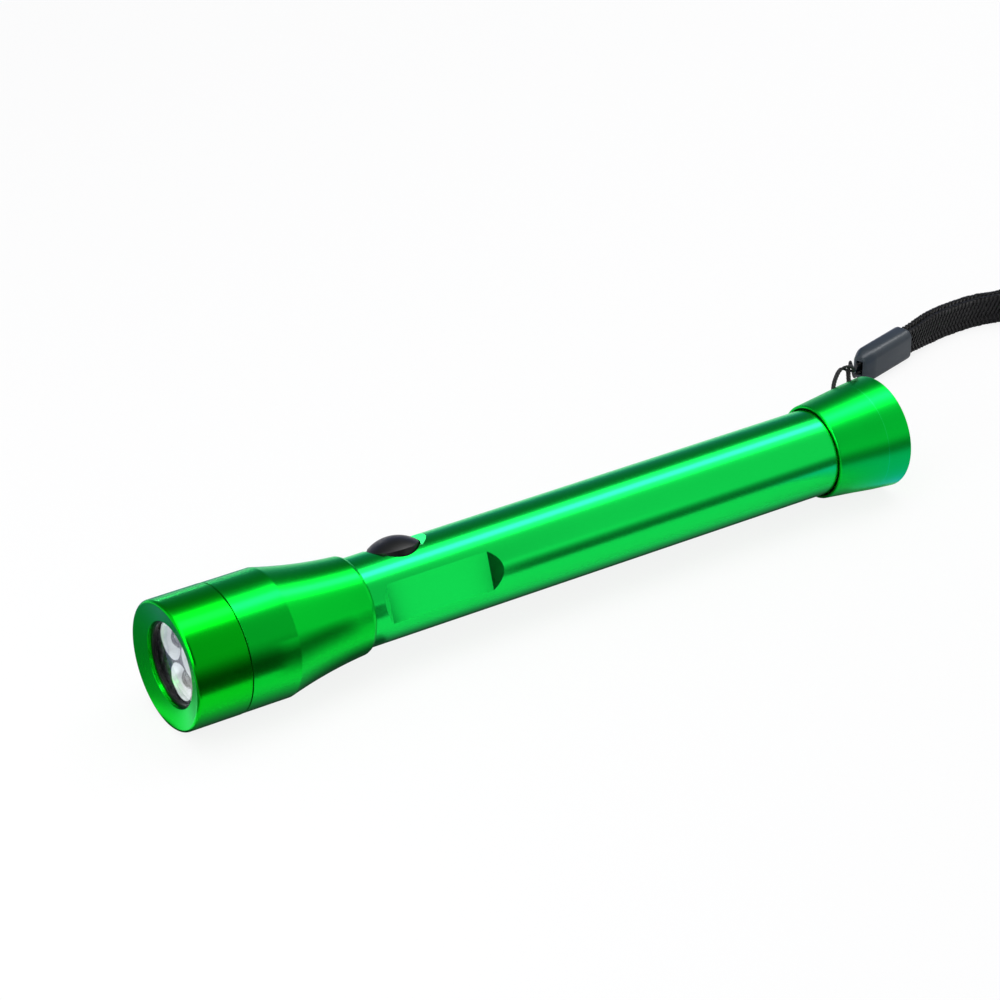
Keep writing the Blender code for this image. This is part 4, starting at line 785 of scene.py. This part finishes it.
# Satin moulded ABS: slate grey, with a fine spark-eroded grain that softens every highlight
satin = grained("satin_moulded_abs", (0.222, 4.0), ("242D35", "2B353F"), (0.33, 0.45), 0.01,
                {"Specular IOR Level": 0.35}, tone_noise=(4.0, 2.0))
sections = []
for station, shrink in ((0.0, SLEEVE_NOSE_SHRINK), (SLEEVE_NOSE, 0.0), (SLEEVE_LENGTH, 0.0)):
    half_y, half_z = SLEEVE_THICKNESS / 2 - shrink, SLEEVE_HEIGHT / 2 - shrink
    short_y, short_z = half_y - SLEEVE_CHAMFER, half_z - SLEEVE_CHAMFER
    corners = [(short_y, half_z), (half_y, short_z), (half_y, -short_z), (short_y, -half_z),
               (-short_y, -half_z), (-half_y, -short_z), (-half_y, short_z), (-short_y, half_z)]
    sections.append([(station, y, z) for y, z in corners])
sleeve = add_piece("strap_sleeve_moulded", lofted("strap_sleeve_moulded", [sections]), satin, AS_DRAWN)
rounding = sleeve.modifiers.new("rounding", "BEVEL")
rounding.width = SLEEVE_ROUNDING
rounding.segments = 5
rounding.limit_method = "ANGLE"
rounding.angle_limit = math.radians(10.0)
rounding.use_clamp_overlap = True
make_plain(sleeve)
shape_with(sleeve, lofted("mouth", [bar((-2.0, -0.95, -1.8), (4.0, 0.95, 1.8))]), "DIFFERENCE")
settle(sleeve, sleeve_axes)
soften(sleeve.data, 40.0)
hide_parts("strap_sleeve")
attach(sleeve, "tail_cap")

# Lanyard cord
# A thin black polyester cord of three twisted strands. It is doubled through the tunnel, hitched
# round its own two strands, and both ends are moulded into the sleeve.
CORD_R, STRAND_HALF, STRAND_RISE, MOUTH_RISE, CORD_SAG = 0.0003, 0.4, 0.5, 1.2, 0.00128

# Twisted polyester: black and matt, with fine fibres that catch a little light
twisted = grained("twisted_black_polyester", (0.167, 3.0), ("060607", "151517"), 0.65, 0.05,
                  {"Specular IOR Level": 0.3})


def smooth_route(points, samples=24):
    """A smooth curve through the points."""
    dense = []
    padded = [2 * points[0] - points[1]] + list(points) + [2 * points[-1] - points[-2]]
    for before, start, end, after in zip(padded, padded[1:], padded[2:], padded[3:]):
        for step in range(samples):
            t = step / samples
            bend = 2 * before - 5 * start + 4 * end - after
            swerve = 3 * start - before - 3 * end + after
            dense.append(0.5 * (2 * start + (end - before) * t + bend * t * t + swerve * t * t * t))
    dense.append(points[-1].copy())
    return dense


def hitch(along, out, across):
    """A place by the tunnel's middle, in mm along the torch, out of its side and across it."""
    return torch @ (tunnel_place + along_way * along + out_way * out + across_way * across)


def strand(side):
    """Half of the cord, from the sleeve's mouth through the tunnel to the hitch."""
    half, rise = side * STRAND_HALF, -side * STRAND_RISE
    inside, lip, mouth = [sleeve_axes @ Vector((along, 0.0, -side * MOUTH_RISE))
                          for along in (3.7, 0.8, -1.2)]
    over = hitch(5.4, 4.3 + rise, 0.9)
    sag = Vector((0.0, 0.0, -CORD_SAG))
    points = [inside, lip, mouth, mouth.lerp(over, 0.3) + sag, mouth.lerp(over, 0.65) + sag, over,
              hitch(4.2, 4.0 + 0.6 * rise, 0.15 + 0.9 * half), hitch(3.45, 3.1, half),
              hitch(2.9, 1.7, half), hitch(2.5, 0.5, half)]
    for step in range(1, 6):
        angle = -math.pi * step / 6
        points.append(hitch(TUNNEL_RING_R * math.cos(angle), TUNNEL_RING_R * math.sin(angle), half))
    for along, out, spread in ((-2.2, -0.3, 1.0), (-1.85, 0.6, 1.0), (-1.15, 1.6, 1.1), (-0.2, 2.6, 1.2),
                               (0.9, 3.5, 1.5), (2.1, 4.0, 2.1), (3.2, 3.8, 2.8), (4.1, 3.15, 3.0),
                               (4.7, 2.8, 1.6)):
        points.append(hitch(along, out, spread * half))
    return points


cord_route = smooth_route(strand(-1) + [hitch(4.9, 2.65, 0.0)] + strand(1)[::-1])
cord = drawn("lanyard_cord_twisted", cord_route, twisted, CORD_R, 0.00016, 18, 3, 0.1, 0.0022)
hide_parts("lanyard_cord")
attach(cord, "tail_cap")

# Wrist strap
# A flat black braid of polyester yarns, 8 mm wide and drawn in where the sleeve grips it. It leaves the
# sleeve on its edge, opens into the loop for the hand and comes back to the sleeve beside itself.
STRAP_HALF, STRAP_END_HALF, STRAP_WIDENING, STRAP_END_APART = 4.0, 3.3, 12.0, 0.9
CORE_HALF_THICK, STITCH, EDGE_STITCH, LEAN = 0.48, 1.15, 1.35, math.radians(27.0)
ROW_HEIGHTS = (-2.95, -1.77, -0.59, 0.59, 1.77, 2.95)

# Braided polyester: black, with a dull sheen on every float and deep shade between the floats
yarn = grained("braided_black_polyester", (1.43, 2.0), ("030304", "0E0D10"), (0.2, 0.36), 0.04,
               {"Specular IOR Level": 0.24}, relief_noise=(0.2, 4.0))

strap_start = sleeve_axes @ Vector((SLEEVE_LENGTH + 0.3, 0.0, 0.0))
near_start = Vector((math.sin(SLEEVE_HEADING), -math.cos(SLEEVE_HEADING))) * STRAP_END_APART
strap_bends = [
    (4.2, 0.1), (8.4, 1.2), (12.5, 2.0), (16.0, 2.4), (19.5, 2.55), (23.0, 2.5), (26.5, 2.1), (30.5, 1.1),
    (34.0, -0.4), (39.0, -3.0), (47.0, -6.8), (62.0, -11.5), (83.0, -15.0), (102.0, -13.0), (114.5, -5.0),
    (117.0, 5.5), (110.5, 15.5), (94.5, 20.5), (74.0, 18.5), (58.0, 12.5), (47.0, 7.0), (39.5, 3.7),
    (34.5, 2.65), (30.5, 2.95), (26.5, 3.95), (23.0, 4.35), (19.5, 4.4), (16.0, 4.25), (12.5, 3.85),
    (8.4, 3.05), (4.2, 1.95)]
strap_places = [near_start] + [Vector(bend) for bend in strap_bends] + [-near_start]
strap_route, strap_fullness = [], []
for place in smooth_route(strap_places, 8):
    strap_route.append(strap_start + Vector((place.x, place.y, 0.0)) / 1000)
    opened = min((place - near_start).length, (place + near_start).length, STRAP_WIDENING) / STRAP_WIDENING
    opened = opened * opened * (3 - 2 * opened)
    strap_fullness.append((STRAP_END_HALF + (STRAP_HALF - STRAP_END_HALF) * opened) / STRAP_HALF)


def float_mesh(name, length, width, bulge):
    """One yarn where it shows: a half grain, long in Z, bulging towards -Y."""
    sections = []
    for up, scale in ((-0.42, 0.55), (-0.22, 0.9), (0.0, 1.0), (0.22, 0.9), (0.42, 0.55)):
        half, high = 0.5 * width * scale, bulge * scale
        angles = [math.pi * step / 3 for step in range(4)]
        sections.append([(-half * math.cos(angle), -high * math.sin(angle), length * up)
                         for angle in angles])
    shape = bmesh.new()
    rows = add_loft(shape, sections, False)
    for row, up in ((rows[0], -0.5), (rows[-1], 0.5)):
        tip = shape.verts.new((0.0, -0.2 * bulge, length * up))
        for step in range(4):
            shape.faces.new((row[step], row[(step + 1) % 4], tip))
    return closed_mesh(name, shape)


# Braid: strings a column of yarn floats along the strap's line, turned to its direction
tree, given = start_tree("braid_along_strap", {
    "Stitch": "Float", "Column": "Object", "Float": "Object", "Finish": "Material", "Seed": "Int"})
path = add_node(tree, "GeometryNodeMeshToCurve", {"Mesh": given["Geometry"]})
even = add_node(tree, "GeometryNodeResampleCurve", {
    "Curve": path, "Length": given["Stitch"]}, mode="LENGTH")
column = add_node(tree, "GeometryNodeObjectInfo", {"Object": given["Column"]})
float_part = add_node(tree, "GeometryNodeObjectInfo", {"Object": given["Float"]})
turn = add_node(tree, "GeometryNodeInputNamedAttribute", {"Name": "turn"}, data_type="FLOAT_VECTOR")
floats = add_node(tree, "GeometryNodeInstanceOnPoints", {
    "Points": column.outputs["Geometry"], "Instance": float_part.outputs["Geometry"],
    "Rotation": turn.outputs["Attribute"]})
heading = add_node(tree, "GeometryNodeInputTangent")
facing = add_node(tree, "FunctionNodeAlignRotationToVector", {"Vector": heading}, axis="X")
slack = add_node(tree, "FunctionNodeRandomValue", {
    0: (0.92, 0.96, 0.97), 1: (1.06, 1.03, 1.01), "Seed": given["Seed"]}, data_type="FLOAT_VECTOR")
fullness = add_node(tree, "GeometryNodeInputNamedAttribute", {"Name": "fullness"}, data_type="FLOAT")
drawn_in = add_node(tree, "ShaderNodeCombineXYZ", {
    "X": 1.0, "Y": 1.0, "Z": fullness.outputs["Attribute"]})
scale = add_node(tree, "ShaderNodeVectorMath", {0: slack, 1: drawn_in}, operation="MULTIPLY")
columns = add_node(tree, "GeometryNodeInstanceOnPoints", {
    "Points": even, "Instance": floats, "Rotation": facing, "Scale": scale})
braid_tree = end_tree(tree, columns, given["Finish"])


def braided(name, stitch, column, float_size, seed):
    """Yarns along the strap; a column is (place in mm, turn) for each float of one stitch."""
    column_mesh = bpy.data.meshes.new("column")
    column_mesh.from_pydata([place for place, _ in column], [], [])
    turns = column_mesh.attributes.new("turn", "FLOAT_VECTOR", "POINT")
    turns.data.foreach_set("vector", [number for _, turn in column for number in turn])
    column_piece = add_piece("column", column_mesh, None, MILLIMETRES)
    float_piece = add_piece("float", float_mesh("float", *float_size), yarn, MILLIMETRES)
    mesh = line_mesh(name, strap_route)
    mesh.attributes.new("fullness", "FLOAT", "POINT").data.foreach_set("value", strap_fullness)
    piece = grown(name, mesh, braid_tree, {
        "Stitch": stitch / 1000, "Column": column_piece, "Float": float_piece, "Finish": yarn, "Seed": seed})
    piece.data.shade_smooth()
    for helper in (column_piece, float_piece):
        bpy.data.objects.remove(helper)
    return piece


face_column = []
for row, height in enumerate(ROW_HEIGHTS):
    lean = -LEAN if row < 2 else LEAN
    for side, flip in ((-1, 0.0), (1, math.pi)):
        place = (STITCH * 0.5 * (row % 2), side * (CORE_HALF_THICK - 0.03), height)
        face_column.append((place, (0.0, lean, flip)))
edge_column = [((0.0, 0.0, side * (STRAP_HALF - 0.36)), (-side * math.pi / 2, 0.0, math.pi / 2 - 0.3))
               for side in (-1, 1)]
faces = braided("wrist_strap_faces", STITCH, face_column, (1.75, 0.74, 0.42), 7)
edges = braided("wrist_strap_edges", EDGE_STITCH, edge_column, (2.1, 0.9, 0.3), 11)

quarter = [(CORE_HALF_THICK, 3.1), (CORE_HALF_THICK * 0.7, 3.45)]
upper = quarter + [(0.0, 3.6)] + [(-across, up) for across, up in quarter[::-1]]
core_outline = upper + [(across, -up) for across, up in upper[::-1]]
core_sections = []
for index, (place, fullness) in enumerate(zip(strap_route, strap_fullness)):
    ahead = strap_route[min(index + 1, len(strap_route) - 1)]
    behind = strap_route[max(index - 1, 0)]
    way = (ahead - behind).normalized()
    sideways = Vector((-way.y, way.x, 0.0))
    core_sections.append([place + (sideways * across + Vector((0.0, 0.0, up * fullness))) / 1000
                          for across, up in core_outline])
core = add_piece("wrist_strap_core", lofted("wrist_strap_core", [core_sections]), yarn, AS_DRAWN)
for piece in (faces, edges, core):
    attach(piece, "tail_cap")
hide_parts("wrist_strap")

# Floor
# A plain white sheet, larger than any view. The camera sees it lifted to white, but for the shadow.
FLOOR_HALF, FLOOR_LIFT, FLOOR_MIRRORED = 6.0, 0.86, 0.08


def eye_rays(tree):
    """The kinds of ray, and among them those that the eye follows straight or through the lens."""
    rays = add_node(tree, "ShaderNodeLightPath").outputs
    clear = add_node(tree, "ShaderNodeMath", {
        0: rays["Is Camera Ray"], 1: rays["Is Transmission Ray"]}, operation="MAXIMUM")
    return rays, clear


sheet, tree = start_material("white_paper")
rays, clear_view = eye_rays(tree)
lift = add_node(tree, "ShaderNodeMath", {0: clear_view, 1: FLOOR_LIFT}, operation="MULTIPLY")
mirrored = add_node(tree, "ShaderNodeMath", {
    0: rays["Is Glossy Ray"], 1: FLOOR_MIRRORED}, operation="MULTIPLY")
lifted = add_node(tree, "ShaderNodeMath", {0: lift, 1: mirrored}, operation="MAXIMUM")
paper = add_node(tree, "ShaderNodeBsdfDiffuse", {"Color": linear("FAFAFA")})
glow = add_node(tree, "ShaderNodeEmission", {"Color": linear("FFFFFF"), "Strength": 1.0})
mixed = add_node(tree, "ShaderNodeMixShader", {0: lifted, 1: paper, 2: glow})
add_node(tree, "ShaderNodeOutputMaterial", {"Surface": mixed})


def lying(left, right, near, far, level):
    """The corners of a sheet on the ground, in metres."""
    return [(left, near, level), (right, near, level), (right, far, level), (left, far, level)]


def add_sheet(name, corners, material):
    """One flat sheet that belongs to the studio."""
    mesh = bpy.data.meshes.new(name)
    mesh.from_pydata(corners, [], [(0, 1, 2, 3)])
    mesh.materials.append(material)
    thing = add_object(name, mesh)
    return thing


add_sheet("floor", lying(-FLOOR_HALF, FLOOR_HALF, -FLOOR_HALF, FLOOR_HALF, 0.0), sheet)

# Studio light
# A long softbox hangs over the torch, with a bright middle that only metal shows, and a small lamp ahead
# lights the cups. Cards round the torch and sheets on the floor give metal dark, white and tinted bands.
BOX_SWING, SHEET_LEVEL = math.radians(14.0), 0.0005


def add_softbox(name, place, size, radiance, glossy_only=False, look=(0.0, 0.0, -1.0)):
    """An area lamp that looks one way, straight down as a rule, swung a little about the vertical."""
    lamp = bpy.data.lights.new(name, "AREA")
    lamp.shape = "RECTANGLE"
    lamp.size, lamp.size_y = size
    lamp.energy = radiance * math.pi * size[0] * size[1]
    box = add_object(name, lamp)
    box.location = place
    aim = Vector(look).to_track_quat("-Z", "Y").to_matrix()
    box.rotation_euler = (Matrix.Rotation(BOX_SWING, 3, "Z") @ aim).to_euler()
    box.visible_diffuse = not glossy_only


add_softbox("softbox", (0.28, 0.085, 0.6), (1.6, 0.42), 1.65)
add_softbox("softbox_middle", (0.28, 0.066, 0.59), (1.6, 0.13), 7.2, True)
add_softbox("softbox_ahead", (-0.34, -0.09, 0.16), (0.2, 0.2), 3.0, False, (0.264, 0.027, -0.146))


def shaded(tree, value, low, high, stops):
    """Grey or coloured levels along a value, as (place, level or linear colour)."""
    share = add_node(tree, "ShaderNodeMapRange", {"Value": value, "From Min": low, "From Max": high})
    ramp = add_node(tree, "ShaderNodeValToRGB", {"Fac": share})
    stops = [((place - low) / (high - low), level) for place, level in stops]
    for _ in stops[2:]:
        ramp.color_ramp.elements.new(0.5)
    for element, (place, level) in zip(ramp.color_ramp.elements, stops):
        element.position = place
        element.color = (*level, 1.0) if isinstance(level, tuple) else (level, level, level, 1.0)
    return ramp


def add_card(name, corners, stops, axis="Z", strength=1.0):
    """A card that only gloss mirrors, its level set by the place along one axis in metres."""
    finish, tree = start_material(name)
    where = add_node(tree, "ShaderNodeTexCoord")
    split = add_node(tree, "ShaderNodeSeparateXYZ", {"Vector": where.outputs["Object"]})
    level = shaded(tree, split.outputs[axis], stops[0][0], stops[-1][0], stops)
    glow = add_node(tree, "ShaderNodeEmission", {"Color": level, "Strength": strength})
    add_node(tree, "ShaderNodeOutputMaterial", {"Surface": glow})
    card = add_sheet(name, corners, finish)
    for ray in ("camera", "diffuse", "shadow", "transmission", "volume_scatter"):
        setattr(card, "visible_" + ray, False)


barrel_shade = [(0.0, 0.5), (0.003, 0.24), (0.007, 0.14), (0.012, 0.17), (0.016, 0.3), (0.02, 0.55),
                (0.025, 1.0)]
cone_shade = [(0.003, 0.9), (0.006, 0.7), (0.01, 0.38), (0.013, 0.15), (0.016, 0.12), (0.019, 0.4),
              (0.022, 0.8)]
head_shade = [(0.0, 0.2), (0.004, 0.08), (0.009, 0.04), (0.015, 0.05), (0.02, 0.16), (0.026, 0.4),
              (0.03, 0.55)]
for name, left, right, depth, stops, strength in (
        ("dark_card_head", -0.5, -0.05, -0.035, head_shade, 1.0),
        ("dark_card_cone", -0.067, -0.043, -0.022, cone_shade, 1.0),
        ("dark_card_neck", -0.5, -0.036, -0.05, barrel_shade, 1.0),
        ("dark_card_ramp", -0.036, -0.022, -0.05, barrel_shade[:4], 1.0),
        ("dark_card_barrel", 0.0035, 0.8, -0.05, barrel_shade, 1.0),
        ("black_card_camera", -0.03, -0.0229, -0.0485, [(0.005, 0.01), (0.028, 0.01)], 1.0),
        ("white_card_flat", 0.03, 0.14, -0.2, [(0.0, 1.0), (0.08, 1.0)], 1.05),
        ("glint_behind", 0.05, 0.11, 0.48, [(0.075, 1.0), (0.105, 1.0)], 7.0)):
    low, top = stops[0][0], stops[-1][0]
    corners = [(left, depth, low), (right, depth, low), (right, depth, top), (left, depth, top)]
    add_card(name, corners, stops, "Z", strength)
slanted = [(0.07, -0.25, 0.04), (0.9, -0.25, 0.04), (0.9, -0.25, 0.7), (0.245, -0.25, 0.7)]
add_card("white_card_tail", slanted, [(0.04, 0.9), (0.7, 0.9)])

teal, dusk, slate, sky = (0.24, 0.28, 0.53), (0.17, 0.2, 0.38), (0.2, 0.24, 0.45), (0.12, 0.31, 1.0)
for name, left, right, near, far, stops, axis, strength in (
        ("blue_sheet_tail", 0.08, 0.17, -0.08, -0.008,
         [(0.08, (0.28, 0.32, 0.35)), (0.092, sky), (0.17, sky)], "X", 2.4),
        ("teal_sheet_ahead", -0.135, -0.1005, -0.03, 0.07, [(-0.03, teal), (0.07, teal)], "Y", 1.0),
        ("grey_sheet_ahead", -0.1005, -0.0925, -0.01, 0.07,
         [(-0.01, 1.0), (0.0075, 1.0), (0.0115, 0.5), (0.017, dusk), (0.07, dusk)], "Y", 1.4),
        ("shade_under_head", -0.0925, -0.04, -0.016, 0.0155,
         [(-0.016, 0.72), (-0.0115, 0.28), (-0.0084, 0.07), (0.0, 0.05)], "Y", 1.0),
        ("shade_under_barrel", -0.04, 0.08, -0.012, 0.0155,
         [(-0.012, 0.8), (-0.0077, 0.33), (-0.0044, 0.08), (0.0, 0.05)], "Y", 1.0),
        ("grey_sheet_behind", -0.0925, -0.03, 0.016, 0.12, [(0.016, slate), (0.12, slate)], "Y", 1.0)):
    add_card(name, lying(left, right, near, far, SHEET_LEVEL), stops, axis, strength)

# White room: the camera sees it white; metal mirrors it dark behind the camera and behind the torch
LENS_LIFT, AMBIENT = 2.6, 0.47
world = bpy.data.worlds.new("white_room")
scene.world = world
world.use_nodes = True
tree = world.node_tree
tree.nodes.clear()
rays, clear_view = eye_rays(tree)
way = add_node(tree, "ShaderNodeTexCoord")
split = add_node(tree, "ShaderNodeSeparateXYZ", {"Vector": way.outputs["Generated"]})
lean_back = add_node(tree, "ShaderNodeMath", {
    0: split.outputs["Y"], 1: split.outputs["Z"]}, operation="ARCTAN2")
room = shaded(tree, lean_back, 0.0, math.pi / 2, [
    (0.4, 1.0), (0.58, (0.42, 0.44, 0.4)), (0.76, (0.15, 0.17, 0.14)), (1.1, (0.15, 0.19, 0.27)),
    (1.36, (0.2, 0.24, 0.5)), (1.46, (0.45, 0.5, 0.8))])
fades = {}
for side, axis, begins, full in (
        ("front", "Y", -0.1, -0.35), ("left", "X", 0.45, 0.33), ("ahead", "X", -0.55, -0.68)):
    fades[side] = add_node(tree, "ShaderNodeMapRange", {
        "Value": split.outputs[axis], "From Min": begins, "From Max": full},
        interpolation_type="SMOOTHSTEP")
camera_side = add_node(tree, "ShaderNodeMath", {0: fades["front"], 1: fades["left"]}, operation="MULTIPLY")
dimmed = add_node(tree, "ShaderNodeMix", {
    "Factor": camera_side, 6: room, 7: (0.02, 0.02, 0.02, 1.0)}, data_type="RGBA")
opened = add_node(tree, "ShaderNodeMix", {
    "Factor": fades["ahead"], 6: dimmed.outputs[2], 7: (1.0, 1.0, 1.0, 1.0)}, data_type="RGBA")
mirrored = add_node(tree, "ShaderNodeBackground", {"Color": opened.outputs[2], "Strength": 1.0})
through_lens = add_node(tree, "ShaderNodeMath", {
    0: rays["Is Transmission Ray"], 1: LENS_LIFT, 2: 1.0}, operation="MULTIPLY_ADD")
white = add_node(tree, "ShaderNodeBackground", {"Color": linear("FFFFFF"), "Strength": through_lens})
ambient = add_node(tree, "ShaderNodeBackground", {"Color": (0.94, 0.95, 1.0, 1.0), "Strength": AMBIENT})
lit = add_node(tree, "ShaderNodeMixShader", {0: rays["Is Glossy Ray"], 1: ambient, 2: mirrored})
seen = add_node(tree, "ShaderNodeMixShader", {0: clear_view, 1: lit, 2: white})
add_node(tree, "ShaderNodeOutputWorld", {"Surface": seen})
